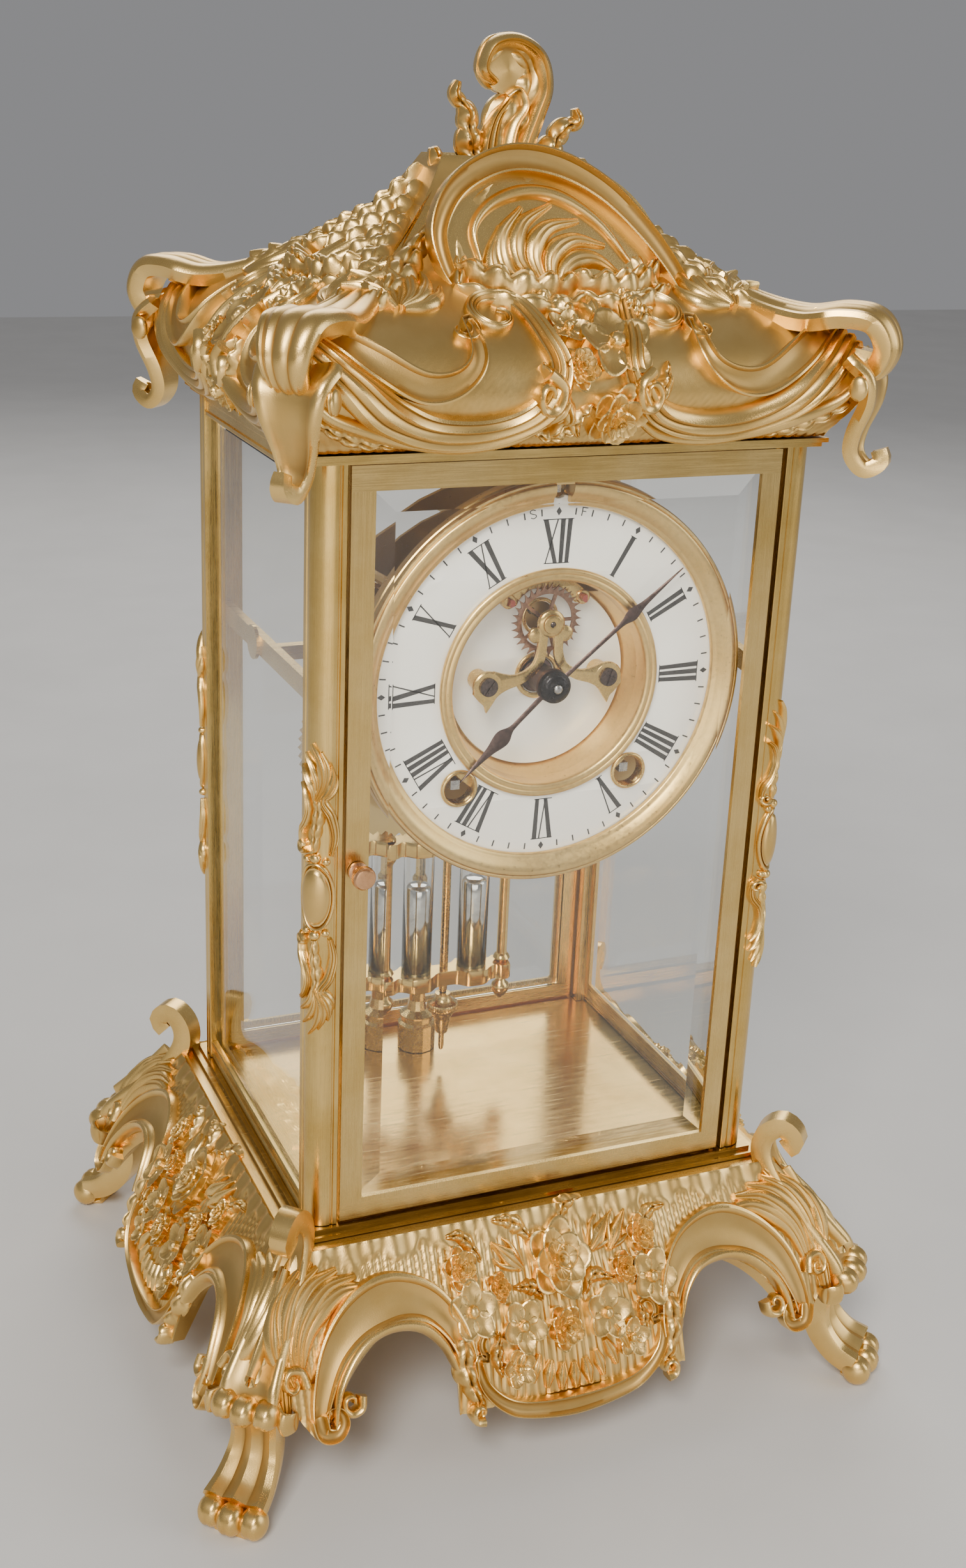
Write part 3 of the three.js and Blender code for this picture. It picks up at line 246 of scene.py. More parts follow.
def brass(name, stretch, roughness, light=(0.84, 0.60, 0.22), dark=(0.68, 0.45, 0.13), streaks=0.35):
    """Lacquered brass, brushed along its length, with faint tarnish clouds."""
    look = Look(name, roughness, 1.0)
    brushed = look.noise(1.0, 5, stretch, 0.7)
    clouds = look.noise(0.035, 5)
    tone = look.ramp(clouds, [(0.32, dark), (0.62, light)])
    look.link("Base Color", look.blend(streaks, tone, look.ramp(
        brushed, [(0.3, (0.62, 0.50, 0.34)), (0.7, (1, 0.96, 0.86))]), "MULTIPLY"))
    spread = look.range(brushed, roughness - 0.06, roughness + 0.12, 0.3, 0.7)
    look.link("Roughness", look.math("ADD", spread, look.range(clouds, -0.03, 0.06)))
    look.bump(brushed, 0.10, 0.06)
    return look.material


def brass_door():
    """Door brass: rails brushed across the whole width, stiles brushed upright between them."""
    look = Look("brass_door", 0.24, 1.0)
    height = look.node("ShaderNodeSeparateXYZ", Vector=look.place()).outputs["Z"]
    low, high = span("front_door_frame")[0][2] + 7.8, span("front_door_frame")[1][2] - 9.6
    stile = look.math("MULTIPLY", look.math("GREATER_THAN", height, float(low)),
                      look.math("LESS_THAN", height, float(high)))
    brushed = look.blend(stile, look.noise(1.0, 5, ACROSS, 0.7), look.noise(1.0, 5, UPRIGHT, 0.7))
    clouds = look.noise(0.03, 5)
    tone = look.ramp(clouds, [(0.32, (0.70, 0.48, 0.16)), (0.62, (0.84, 0.61, 0.25))])
    look.link("Base Color", look.blend(0.35, tone, look.ramp(
        brushed, [(0.3, (0.62, 0.50, 0.34)), (0.7, (1, 0.96, 0.86))]), "MULTIPLY"))
    look.link("Roughness", look.range(brushed, 0.18, 0.36, 0.3, 0.7))
    look.bump(brushed, 0.10, 0.06)
    return look.material


def enamel():
    """White fired enamel, a little warm, with fine specks under the gloss."""
    look = Look("enamel", 0.12, 0.0, Coat_Weight=0.6, Coat_Roughness=0.05)
    tone = look.ramp(look.noise(0.03, 3), [(0.3, (0.83, 0.78, 0.70)), (0.7, (0.88, 0.84, 0.77))])
    specks = look.ramp(look.noise(1.9, 2), [(0.70, (1, 1, 1)), (0.79, (0.80, 0.74, 0.66))])
    look.link("Base Color", look.blend(1.0, tone, specks, "MULTIPLY"))
    look.link("Roughness", look.range(look.noise(0.08, 4), 0.08, 0.2))
    look.bump(look.noise(0.12, 2), 0.06, 0.3)
    return look.material


def paint():
    """The black of the numerals."""
    look = Look("dial_paint", 0.35, 0.0)
    tone = look.ramp(look.noise(3.0, 3), [(0.35, (0.012, 0.011, 0.012)), (0.75, (0.06, 0.055, 0.05))])
    look.link("Base Color", tone)
    look.link("Roughness", look.range(look.noise(1.0, 3), 0.25, 0.5))
    return look.material


def steel(name, dark, light, roughness=0.28):
    """Steel or bronze with a mottled patina between two tones."""
    look = Look(name, roughness, 1.0)
    rust = look.noise(0.9, 6, rough=0.7)
    look.link("Base Color", look.ramp(rust, [(0.35, dark), (0.72, light)]))
    look.link("Roughness", look.range(rust, roughness - 0.08, roughness + 0.2))
    look.bump(rust, 0.12, 0.1)
    return look.material


def clear_glass(name="glass"):
    """Polished glass that lets lamps through, with the faint clouds of an old pane."""
    look = Look(name, 0.0, 0.0, IOR=1.5, Transmission_Weight=1.0)
    look.link("Base Color", look.ramp(look.noise(0.02, 2),
                                      [(0.2, (0.97, 0.985, 0.98)), (0.8, (0.99, 0.995, 0.99))]))
    shadow = look.node("ShaderNodeLightPath").outputs["Is Shadow Ray"]
    clear = look.node("ShaderNodeBsdfTransparent", Color=(0.94, 0.96, 0.95, 1))
    mixed = look.node("ShaderNodeMixShader", i0=shadow, i1=look.shader.outputs["BSDF"],
                      i2=clear.outputs["BSDF"])
    output = look.tree.nodes["Material Output"]
    look.tree.links.new(mixed.outputs["Shader"], output.inputs["Surface"])
    return look.material


def mercury():
    look = Look("mercury", 0.08, 1.0)
    look.link("Base Color", look.ramp(look.noise(0.3, 3), [(0.3, (0.60, 0.57, 0.53)),
                                                            (0.7, (0.78, 0.76, 0.72))]))
    look.link("Roughness", look.range(look.noise(0.5, 3), 0.04, 0.14))
    return look.material


def garnet():
    """The red-brown stones of the pallets."""
    look = Look("garnet", 0.12, 0.0, Coat_Weight=0.5)
    look.link("Base Color", look.ramp(look.noise(0.8, 3), [(0.3, (0.16, 0.02, 0.012)),
                                                            (0.75, (0.34, 0.06, 0.03))]))
    look.link("Roughness", look.range(look.noise(2.0, 3), 0.08, 0.2))
    return look.material


def floor_material():
    look = Look("floor", 0.7, 0.0)
    look.link("Base Color", look.ramp(look.noise(0.01, 3), [(0.3, (0.66, 0.65, 0.63)),
                                                             (0.7, (0.70, 0.69, 0.67))]))
    look.link("Roughness", look.range(look.noise(0.02, 3), 0.6, 0.75))
    return look.material


MATERIALS = {
    "gilt": gilt(),
    "brass_upright": brass("brass_upright", UPRIGHT, 0.24),
    "brass_across": brass("brass_across", ACROSS, 0.24),
    "brass_polished": brass("brass_polished", LEVEL, 0.13, (0.90, 0.64, 0.22), (0.80, 0.53, 0.15)),
    "brass_door": brass_door(),
    "brass_turned": brass("brass_turned", (0.8, 0.8, 0.8), 0.2),
    "brass_bezel": brass("brass_bezel", (0.7, 0.7, 0.7), 0.3, (0.90, 0.64, 0.25), (0.80, 0.53, 0.17)),
    "brass_level": brass("brass_level", (2.2, 0.05, 2.2), 0.24),
    "brass_plate": brass("brass_plate", (1.6, 1.6, 1.6), 0.3, (0.80, 0.58, 0.24), (0.73, 0.51, 0.18), 0.12),
    "brass_floor": brass("brass_floor", LEVEL, 0.17, (0.66, 0.45, 0.16), (0.54, 0.35, 0.10)),
    "enamel": enamel(),
    "paint": paint(),
    "steel": steel("steel", (0.045, 0.028, 0.024), (0.15, 0.09, 0.075), 0.34),
    "black_steel": steel("black_steel", (0.012, 0.011, 0.012), (0.05, 0.045, 0.045), 0.2),
    "bronze": steel("bronze", (0.20, 0.10, 0.06), (0.42, 0.24, 0.15), 0.34),
    "screw_steel": steel("screw_steel", (0.05, 0.035, 0.03), (0.17, 0.12, 0.10), 0.24),
    "garnet": garnet(),
    "copper": brass("copper", (0.8, 0.8, 0.8), 0.26, (0.80, 0.46, 0.25), (0.66, 0.34, 0.16)),
    "tube_glass": clear_glass("tube_glass"),
    "blued_steel": steel("blued_steel", (0.03, 0.035, 0.06), (0.10, 0.11, 0.16), 0.2),
    "bright_steel": steel("bright_steel", (0.35, 0.33, 0.31), (0.62, 0.6, 0.58), 0.22),
    "glass": clear_glass(),
    "mercury": mercury(),
}
SLOTS = {"gilt": "gilt", "enamel": "enamel", "paint": "enamel", "steel": "steel",
         "black_steel": "steel", "screw_steel": "steel", "garnet": "enamel", "tube_glass": "glass",
         "blued_steel": "steel", "bright_steel": "steel", "bronze": "bronze", "glass": "glass",
         "mercury": "mercury"}
make_camera()
make_stage()


# ---- mesh tools -----------------------------------------------------------------------------
# Edges steeper than these stay sharp: on castings, turned pieces, cut pieces and drawn mouldings.
SHARP, TURNED, CUT, DRAWN = [math.radians(angle) for angle in (42, 35, 30, 28)]


class Piece:
    """Vertices and faces collected from closed solids, made into one object at the end."""

    def __init__(self):
        self.vertices, self.faces, self.count = [], [], 0

    def add(self, vertices, faces):
        vertices = np.asarray(vertices, float).reshape(-1, 3)
        self.vertices.append(vertices)
        self.faces += [tuple(int(i) + self.count for i in face) for face in faces]
        self.count += len(vertices)
        return self

    def turned(self, quarter):
        """The same solids turned by quarter turns about the clock's axis."""
        angle = quarter * math.pi / 2
        turn = np.array([[math.cos(angle), math.sin(angle), 0],
                         [-math.sin(angle), math.cos(angle), 0], [0, 0, 1]])
        other = Piece()
        other.add(np.concatenate(self.vertices) @ turn, self.faces)
        return other

    def join(self, other):
        return self.add(np.concatenate(other.vertices), other.faces)

    def make(self, name, body, material, replaces=(), sharp=SHARP):
        mesh = bpy.data.meshes.new(name)
        mesh.from_pydata((np.concatenate(self.vertices) * MM).tolist(), [], self.faces)
        mesh.validate()
        mesh.polygons.foreach_set("use_smooth", [True] * len(mesh.polygons))
        mesh.set_sharp_from_angle(angle=sharp)
        return place_object(name, mesh, body, material, replaces)


def place_object(name, mesh, body, material, replaces=()):
    """Adds a finished mesh as a visible piece that rides on a body."""
    thing = bpy.data.objects.new(name, mesh)
    bpy.context.scene.collection.objects.link(thing)
    mesh.materials.append(MATERIALS[material])
    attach(thing, body)
    SLOTS.get(material, "brass")
    if replaces:
        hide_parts(*replaces)
    return thing


def outward(vertices, faces):
    """The faces of a closed solid, turned over where they point inwards."""
    v = np.asarray(vertices)
    volume = 0.0
    for face in faces:
        a = v[face[0]]
        for b, c in zip(face[1:-1], face[2:]):
            volume += np.dot(a, np.cross(v[b], v[c]))
    return faces if volume > 0 else [tuple(reversed(face)) for face in faces]


def net(rows, columns, close_rows=False, close_columns=True):
    """Quads of a net of rows * columns vertices."""
    faces = []
    for i in range(rows if close_rows else rows - 1):
        for j in range(columns if close_columns else columns - 1):
            k, l = (i + 1) % rows, (j + 1) % columns
            faces.append((i * columns + j, k * columns + j, k * columns + l, i * columns + l))
    return faces


def tube_solid(grid):
    """A closed solid from an array [rows, columns, 3]: closed round its columns, capped at its ends."""
    rows, columns = grid.shape[:2]
    faces = net(rows, columns)
    faces.append(tuple(range(columns)))
    faces.append(tuple(reversed(range((rows - 1) * columns, rows * columns))))
    vertices = grid.reshape(-1, 3)
    return vertices, outward(vertices, faces)


def curve(points, count):
    """A smooth line through the points: a centripetal Catmull-Rom spline, evenly spaced."""
    p = np.asarray(points, float)
    p = np.vstack([2 * p[0] - p[1], p, 2 * p[-1] - p[-2]])
    out = []
    for a, b, c, d in zip(p[:-3], p[1:-2], p[2:-1], p[3:]):
        for t in np.linspace(0, 1, 24, endpoint=False):
            out.append(0.5 * (2 * b + (c - a) * t + (2 * a - 5 * b + 4 * c - d) * t * t
                              + (3 * b - a - 3 * c + d) * t ** 3))
    out = np.array(out + [p[-2]])
    length = np.concatenate([[0], np.cumsum(np.linalg.norm(np.diff(out, axis=0), axis=1))])
    wanted = np.linspace(0, length[-1], count)
    return np.stack([np.interp(wanted, length, out[:, k]) for k in range(out.shape[1])], 1)


def along(values, count):
    """Values spread evenly along a path, with soft changes between them."""
    return curve([[i, v] for i, v in enumerate(values)], count)[:, 1]


def left_of(path):
    """Unit vectors that point to the left of each step of a flat path."""
    step = np.gradient(path, axis=0)
    step /= np.linalg.norm(step, axis=1)[:, None]
    return np.stack([-step[:, 1], step[:, 0]], 1)


def spiral(centre, radius, start, turns, tighten=0.25, count=8):
    """Points that curl into a centre, from the angle `start` in degrees; turns may be negative."""
    t = np.linspace(0, 1, count)
    r = radius * (1 - (1 - tighten) * t)
    a = math.radians(start) + 2 * math.pi * turns * t
    return [(centre[0] + q * math.cos(b), centre[1] + q * math.sin(b)) for q, b in zip(r, a)]


# Cross-sections of bands: (place across, from -1 to 1; height over the ground)
CHANNEL = [(-1, 0), (-0.96, 0.62), (-0.88, 0.95), (-0.76, 1.0), (-0.66, 0.86), (-0.58, 0.58),
           (-0.30, 0.42), (0, 0.37), (0.30, 0.42), (0.58, 0.58), (0.66, 0.86), (0.76, 1.0),
           (0.88, 0.95), (0.96, 0.62), (1, 0)]
STEPPED = [(-1, 0), (-0.95, 0.5), (-0.82, 0.62), (-0.74, 0.5), (-0.68, 0.62), (-0.52, 0.92),
           (-0.38, 0.84), (-0.32, 0.72), (-0.24, 0.86), (-0.02, 1.0), (0.2, 0.9), (0.28, 0.74),
           (0.36, 0.86), (0.56, 0.98), (0.8, 0.8), (0.95, 0.45), (1, 0)]
CROWN = [(-1, 0), (-0.9, 0.45), (-0.6, 0.86), (-0.2, 1.0), (0.05, 0.84), (0.3, 0.97), (0.65, 0.8),
         (0.9, 0.42), (1, 0)]
ROLL = [(math.cos(a), math.sin(a)) for a in np.linspace(math.pi, 0, 9)]
UNDER = -0.8


def band(piece, points, widths, rise, place, section=CHANNEL, count=40):
    """A raised band along a path on a surface; it thins out with its width."""
    path = curve(points, count)
    width = np.maximum(along(widths, count), 0.3)
    side = left_of(path)
    lift = rise * np.sqrt(np.minimum(1, width / max(width)))
    closed = list(section) + [(section[-1][0], UNDER), (section[0][0], UNDER)]
    columns = []
    for a, h in closed:
        uv = path + side * (a * width / 2)[:, None]
        height = lift * h if h >= 0 else np.full(count, h)
        columns.append(place(uv[:, 0], uv[:, 1], height))
    piece.add(*tube_solid(np.stack(columns, 1)))


def leaf(piece, points, widths, rise, place, lobes=5, count=56):
    """An acanthus leaf: scalloped edges, slanting ribs and a sunk midrib."""
    path = curve(points, count)
    t = np.linspace(0, 1, count)
    notch = 0.70 + 0.30 * np.abs(np.sin(math.pi * t * lobes)) ** 0.6
    width = np.maximum(along(widths, count) * notch, 0.3)
    side = left_of(path)
    columns = []
    for a in np.linspace(-1, 1, 13):
        rib = np.abs(np.sin(math.pi * (t * lobes - 0.45 * abs(a))))
        crown = (1 - abs(a) ** 2.4) * (0.60 + 0.40 * rib) - 0.3 * math.exp(-(a / 0.13) ** 2)
        uv = path + side * (a * width / 2)[:, None]
        columns.append(place(uv[:, 0], uv[:, 1], rise * np.maximum(crown, 0) * np.minimum(
            1, 0.35 + width / max(width))))
    for a in (1, -1):
        uv = path + side * (a * width / 2)[:, None]
        columns.append(place(uv[:, 0], uv[:, 1], np.full(count, UNDER)))
    piece.add(*tube_solid(np.stack(columns, 1)))


def fan(piece, root, tips, rise, place, width=4.0, bow=0.18, count=20):
    """Curved lobes that spread from one root to a row of tips, as on a shell or palmette."""
    root = np.array(root, float)
    for k, tip in enumerate(tips):
        tip = np.array(tip, float)
        reach = tip - root
        bend = np.array([-reach[1], reach[0]]) * bow
        points = [root + 0.08 * reach, root + 0.4 * reach + bend, root + 0.75 * reach + bend * 0.9, tip]
        wide = width * (1 - 0.05 * (k % 2))
        band(piece, points, [0.28 * wide, 0.72 * wide, wide, 0.9 * wide, 0.3 * wide],
             rise * (0.92 + 0.16 * (k % 2)), place, CROWN, count)


def disc(piece, centre, outline, height, place, rings=12, spokes=48):
    """A mound on a surface: outline(angle) gives its radius and height(r, angle) its relief."""
    angle = np.linspace(0, 2 * math.pi, spokes, endpoint=False)
    edge = outline(angle)
    rows = []
    for r in np.linspace(0.02, 1, rings):
        h = height(np.full(spokes, r), angle)
        rows.append(place(centre[0] + r * edge * np.cos(angle), centre[1] + r * edge * np.sin(angle), h))
    rows.append(place(centre[0] + edge * np.cos(angle), centre[1] + edge * np.sin(angle),
                      np.full(spokes, UNDER)))
    piece.add(*tube_solid(np.stack(rows, 0)))


def petals(piece, centre, count, distance, size, low, high, turn, place):
    """A ring of cupped petals whose outer rims stand up from `low` to `high`."""
    for k in range(count):
        a = turn + 2 * math.pi * k / count
        middle_of_petal = (centre[0] + distance * math.cos(a), centre[1] + distance * math.sin(a))

        def height(r, b, a=a):
            lean = 0.5 + 0.5 * np.cos(b - a)
            veins = 0.035 * np.cos(13 * (b - a)) * r
            return low + (high - low) * r ** 1.8 * lean + high * veins - 0.12 * high * (r > 0.95)

        disc(piece, middle_of_petal, lambda b, a=a: size * (1 + 0.07 * np.cos(3 * (b - a))), height,
             place, 9, 30)


def blossom(piece, centre, radius, rise, place, count=5, turn=0.0):
    """An open flower: cupped petals round a button."""
    petals(piece, centre, count, 0.56 * radius, 0.46 * radius, 0.42 * rise, 0.92 * rise, turn, place)
    disc(piece, centre, lambda b: 0.22 * radius * (1 + 0.08 * np.cos(8 * b)),
         lambda r, b: rise * (0.62 + 0.34 * np.sqrt(np.maximum(0, 1 - r * r))), place, 7, 24)


def rose(piece, centre, radius, rise, place, turn=0.0):
    """A full rose: three rings of petals that overlap round a wound heart."""
    petals(piece, centre, 5, 0.58 * radius, 0.44 * radius, 0.25 * rise, 0.66 * rise, turn, place)
    petals(piece, centre, 5, 0.38 * radius, 0.40 * radius, 0.48 * rise, 0.86 * rise, turn + 0.63, place)
    petals(piece, centre, 3, 0.20 * radius, 0.30 * radius, 0.70 * rise, 1.0 * rise, turn + 0.2, place)
    disc(piece, centre, lambda b: 0.22 * radius * np.ones_like(b),
         lambda r, b: rise * (0.92 + 0.16 * ((1.6 * r + b / (2 * math.pi)) % 1.0) * (r < 0.95)),
         place, 10, 30)


def bud(piece, root, tip, width, rise, place):
    """A closed bud with two sepals."""
    root, tip = np.array(root, float), np.array(tip, float)
    band(piece, [root, root + 0.5 * (tip - root), tip],
         [0.5 * width, width, 0.9 * width, 0.2 * width], rise, place, CROWN, 14)
    side = np.array([-(tip - root)[1], (tip - root)[0]]) * 0.28
    for s in (-1, 1):
        band(piece, [root, root + 0.5 * (tip - root) + s * side, root + 0.8 * (tip - root) + s * side],
             [0.3 * width, 0.45 * width, 0.15 * width], rise * 0.7, place, ROLL, 10)


def lathe(piece, profile, place, spokes=48):
    """A turned solid or ring. profile: [radius, height]; place(x, y, height) sets its axis."""
    angle = np.linspace(0, 2 * math.pi, spokes, endpoint=False)
    rows = [place(r * np.cos(angle), r * np.sin(angle), np.full(spokes, h)) for r, h in profile]
    grid = np.stack(rows, 0)
    if profile[0] == profile[-1]:
        vertices = grid[:-1].reshape(-1, 3)
        piece.add(vertices, outward(vertices, net(len(profile) - 1, spokes, close_rows=True)))
    else:
        piece.add(*tube_solid(grid))


def knurled(profile, place, depth, count):
    """Rings of a turned piece; the profile gives (radius, height, 1 where the ring is knurled)."""
    angle = np.linspace(0, 2 * math.pi, count, endpoint=False)
    knurl = 1 - depth * (np.arange(count) % 2)
    rows = []
    for r, h, cut in profile:
        radius = r * (knurl if cut else 1.0) * np.ones(count)
        rows.append(place(radius * np.cos(angle), radius * np.sin(angle), np.full(count, float(h))))
    return np.stack(rows, 0)


def facing(x, z):
    """Turned about an axis along Y through (x, z); the profile's height is the place on Y."""
    return lambda a, b, h: np.stack([x + a, h, z + b], -1)


def standing(x, y):
    """Turned about an upright axis; the profile's height is the place on Z."""
    return lambda a, b, h: np.stack([x + a, y + b, h], -1)


def slab(name, outlines, front, back, body, material, replaces=(), bevel=0.0, at=(0, 0)):
    """A flat piece drawn in X and Z, with holes, and its edges taken off by `bevel`."""
    data = bpy.data.curves.new(name, "CURVE")
    data.dimensions = "2D"
    data.fill_mode = "BOTH"
    data.extrude = (back - front) / 2 - bevel
    data.bevel_depth = bevel
    data.bevel_resolution = 1
    for outline in outlines:
        spline = data.splines.new("POLY")
        spline.points.add(len(outline) - 1)
        for point, (x, z) in zip(spline.points, outline):
            point.co = (x + at[0], z + at[1], 0, 1)
        spline.use_cyclic_u = True
    thing = bpy.data.objects.new(name, data)
    bpy.context.scene.collection.objects.link(thing)
    shape = bpy.data.meshes.new_from_object(
        thing.evaluated_get(bpy.context.evaluated_depsgraph_get()))
    bpy.data.objects.remove(thing)
    shape.transform(Matrix.Rotation(math.pi / 2, 4, "X"))
    shape.transform(Matrix.Translation((0, (front + back) / 2, 0)))
    shape.transform(Matrix.Scale(MM, 4))
    shape.materials.clear()
    merge_by_distance(shape)
    shape.polygons.foreach_set("use_smooth", [True] * len(shape.polygons))
    shape.set_sharp_from_angle(angle=CUT)
    shape.name = name
    return place_object(name, shape, body, material, replaces)


def merge_by_distance(mesh, distance=0.004 * MM):
    """Closes the seams that a bevelled curve or a list of quads leaves."""
    work = bmesh.new()
    work.from_mesh(mesh)
    bmesh.ops.remove_doubles(work, verts=work.verts, dist=distance)
    bmesh.ops.recalc_face_normals(work, faces=work.faces)
    work.to_mesh(mesh)
    work.free()


def ring_points(radius, count):
    """Corners of a regular polygon about the origin."""
    angle = np.linspace(0, 2 * math.pi, count, endpoint=False)
    return list(zip(radius * np.cos(angle), radius * np.sin(angle)))


# ---- cast base ------------------------------------------------------------------------------
SKIRT_TOP, SKIRT_LOW, SKIRT_RIM, SKIRT_SPREAD = 81.7, 24.0, 7.0, 33.0
FLUTES = [(-1, 0), (-0.93, 0.7), (-0.72, 1), (-0.5, 0.62), (-0.38, 0.45), (-0.26, 0.66), (0, 1.06),
          (0.26, 0.66), (0.38, 0.45), (0.5, 0.62), (0.72, 1), (0.93, 0.7), (1, 0)]


def flare(z):
    """How far the skirt stands outside the case at height z."""
    s = np.clip((SKIRT_TOP - z) / (SKIRT_TOP - SKIRT_LOW), 0, 1)
    return SKIRT_RIM + SKIRT_SPREAD * (1 - (1 - s) ** 1.5)


def skirt_surface(half_length, half_depth):
    """Places (x, z, height) on the skirt's front slope; x is scaled where that side is shorter."""
    def place(x, z, h):
        x, z, h = np.broadcast_arrays(np.asarray(x, float), z, h)
        off = flare(z)
        slope = flare(z + 0.5) - flare(z - 0.5)
        n = 1 / np.sqrt(1 + slope ** 2)
        scale = (half_length + off) / (CASE_X + off)
        return np.stack([x * scale, -(half_depth + off) - h * n, z - h * slope * n], -1)
    return place


def arch_edge(u):
    """Height of the skirt's lower edge, for u from -1 to 1 along one side."""
    a = np.abs(u)
    t = np.clip((a - 0.54) / 0.19, -1, 1)
    arch = 30 + 27.5 * np.sqrt(1 - t * t)
    beside_leg = 30 + 20 * np.clip((a - 0.76) / 0.16, 0, 1)
    return np.where(np.abs(t) < 1, arch, np.where(a < 0.4, 27.0, beside_leg))


def skirt_ground(piece, place):
    """Combed ribs below a scalloped fold, with the arches cut out, and a plain back."""
    columns, rows = 250, 46
    u = np.linspace(-1, 1, columns)
    sheet = []
    for v in np.linspace(1, 0, rows):
        z = arch_edge(u) * (1 - v) + (SKIRT_TOP - 0.6) * v
        x = u * (CASE_X + flare(z))
        sway = 1.2 * np.sin(x / 13.0) + 0.05 * (z - 60) * np.sin(x / 31.0)
        comb = 0.85 * np.abs(np.sin((x + sway) * math.pi / 2.7)) ** 0.7
        fold_edge = 76.4 + 1.5 * np.sin(x * 2 * math.pi / 17) + 0.7 * np.sin(x * 2 * math.pi / 7.1)
        fold = 1 / (1 + np.exp(-(z - fold_edge) * 3.2))
        ruffle = 0.5 + 0.35 * np.sin(x * 2 * math.pi / 8.5)
        sheet.append(place(x, z, comb * (1 - fold) + fold * (0.9 + ruffle)))
    back = [place(u * (CASE_X + flare(z) - 4), z, np.full(columns, -4.0))
            for z in (arch_edge(u), np.full(columns, SKIRT_TOP - 0.6))]
    grid = np.stack(sheet + back, 0).transpose(1, 0, 2)
    piece.add(*tube_solid(grid))


def base_side(half_length, half_depth):
    """One side of the skirt: arches, shell combs, flower panel and leaves."""
    piece = Piece()
    place = skirt_surface(half_length, half_depth)
    skirt_ground(piece, place)

    def both(make, points, *args, **kwargs):
        for s in (-1, 1):
            make(piece, [(s * x, z) for x, z in points], *args, **kwargs)

    both(band, [(93, 32), (91.5, 42), (85.5, 54), (75, 62), (62, 65), (50, 62), (42, 53.5),
                (38.5, 43), (38, 37)], [5, 10, 14, 15.5, 16, 15, 12, 8, 5], 4.4, place, count=60)
    both(band, [(88, 33), (85.5, 43), (79, 51.5), (71, 56.5), (62, 58), (53, 56), (46.5, 50),
                (43, 42)], [2.5, 3.5, 4, 4, 4, 4, 3.5, 2], 5.0, place, ROLL, count=50)
    both(band, spiral((88.5, 35.5), 5.4, 20, -1.15), [6, 6, 5.5, 5, 4.5, 4, 3, 2], 4.6, place)
    both(band, spiral((81.5, 39.5), 4.2, 160, 1.1), [3.5, 3.5, 3, 2.5, 2], 4.4, place, ROLL)
    both(leaf, [(39, 50), (40, 42), (38, 34), (35.5, 28), (37.5, 24.5)], [8, 10.5, 9, 6, 3], 4.6, place, 4)
    both(band, spiral((36.5, 27.2), 3.2, 250, 1.1), [3.4, 3.2, 3, 2.4, 1.6], 5.4, place, ROLL, 20)
    for s in (-1, 1):
        tips = [(68, 69.5), (73.5, 73), (79.5, 75.5), (86, 77), (92.5, 77), (98, 74.5)]
        fan(piece, (s * 101, 45), [(s * x, z) for x, z in tips], 4.4, place, 7.4, -0.20 * s)
        band(piece, [(s * x, z) for x, z in spiral((100.5, 48.5), 4.6, 200, -1.2)],
             [4.4, 4, 3.6, 3, 2], 5.2, place, ROLL, 24)
        band(piece, [(s * 104, 40), (s * 103, 52), (s * 99, 63), (s * 93, 73), (s * 88, 79)],
             [4, 6, 6, 5, 3], 3.8, place, STEPPED)
    bowl = spiral((-29.5, 47), 2.4, 10, 0.75, 2.0)[:-1]
    rim = [(-35.5, 43), (-33, 33.5), (-22, 25.5), (0, 22.6), (22, 25.5), (33, 33.5), (35.5, 43)]
    band(piece, bowl + rim + [(-x, z) for x, z in reversed(bowl)],
         [2, 2.5, 3, 4, 5, 6.5, 7.5, 8, 7.5, 6.5, 5, 4, 3, 2.5, 2], 4.6, place, count=90)
    for k in range(-4, 5):
        foot = (k * 5.4, 27.5 + 0.09 * (k * 5.4) ** 2 / 5)
        band(piece, [foot, (foot[0] * 0.92, foot[1] + 4), (foot[0] * 0.78, foot[1] + 8.5)],
             [2.2, 4.2, 4.6, 2.4], 3.4, place, CROWN, 14)
    rose(piece, (0, 66), 11.5, 7.2, place)
    rose(piece, (-2, 47), 7.0, 6.0, place, 2.0)
    for centre, radius, turn in [((-34.5, 57), 8.6, 0.3), ((34.5, 56), 8.4, 1.1), ((-17, 50), 8.0, 0.9),
                                 ((15, 48.5), 8.2, 0.1), ((-21, 38), 6.0, 0.5), ((23, 39.5), 6.2, 1.4)]:
        blossom(piece, centre, radius, 4.8, place, turn=turn)
    for x, z, radius in [(-36, 69, 6.2), (33, 68.5, 5.6), (24, 60, 5.0), (-24, 62, 4.6)]:
        rose(piece, (x, z), radius, 5.4, place, x)
    for root, tip, width in [((-14, 66), (-23, 74), 6), ((13, 67), (22, 75), 6), ((20, 66), (29, 76), 5)]:
        bud(piece, root, tip, width, 4.2, place)
    for path, width in [([(-8, 72), (-13, 78), (-22, 80)], 7), ([(3, 74), (6, 80), (14, 82)], 6.5),
                        ([(-28, 70), (-33, 77), (-40, 78)], 6), ([(30, 66), (38, 74), (45, 75)], 6),
                        ([(-26, 50), (-28, 42), (-27, 36)], 6), ([(27, 50), (29, 44), (27, 38)], 6),
                        ([(-8, 56), (-11, 60), (-18, 61)], 6), ([(8, 55), (12, 60), (20, 58)], 6)]:
        leaf(piece, path, [2, width, width * 0.9, 1.5], 3.4, place, 4, 36)
    return piece


def diagonal(sx, sy):
    """Places (distance from the case's corner, place across, height) at one corner."""
    h = math.sqrt(0.5)

    def place(r, across, z):
        return np.stack([sx * CASE_X + (sx * r - sy * across) * h,
                         sy * CASE_Y + (sy * r + sx * across) * h, z], -1)
    return place


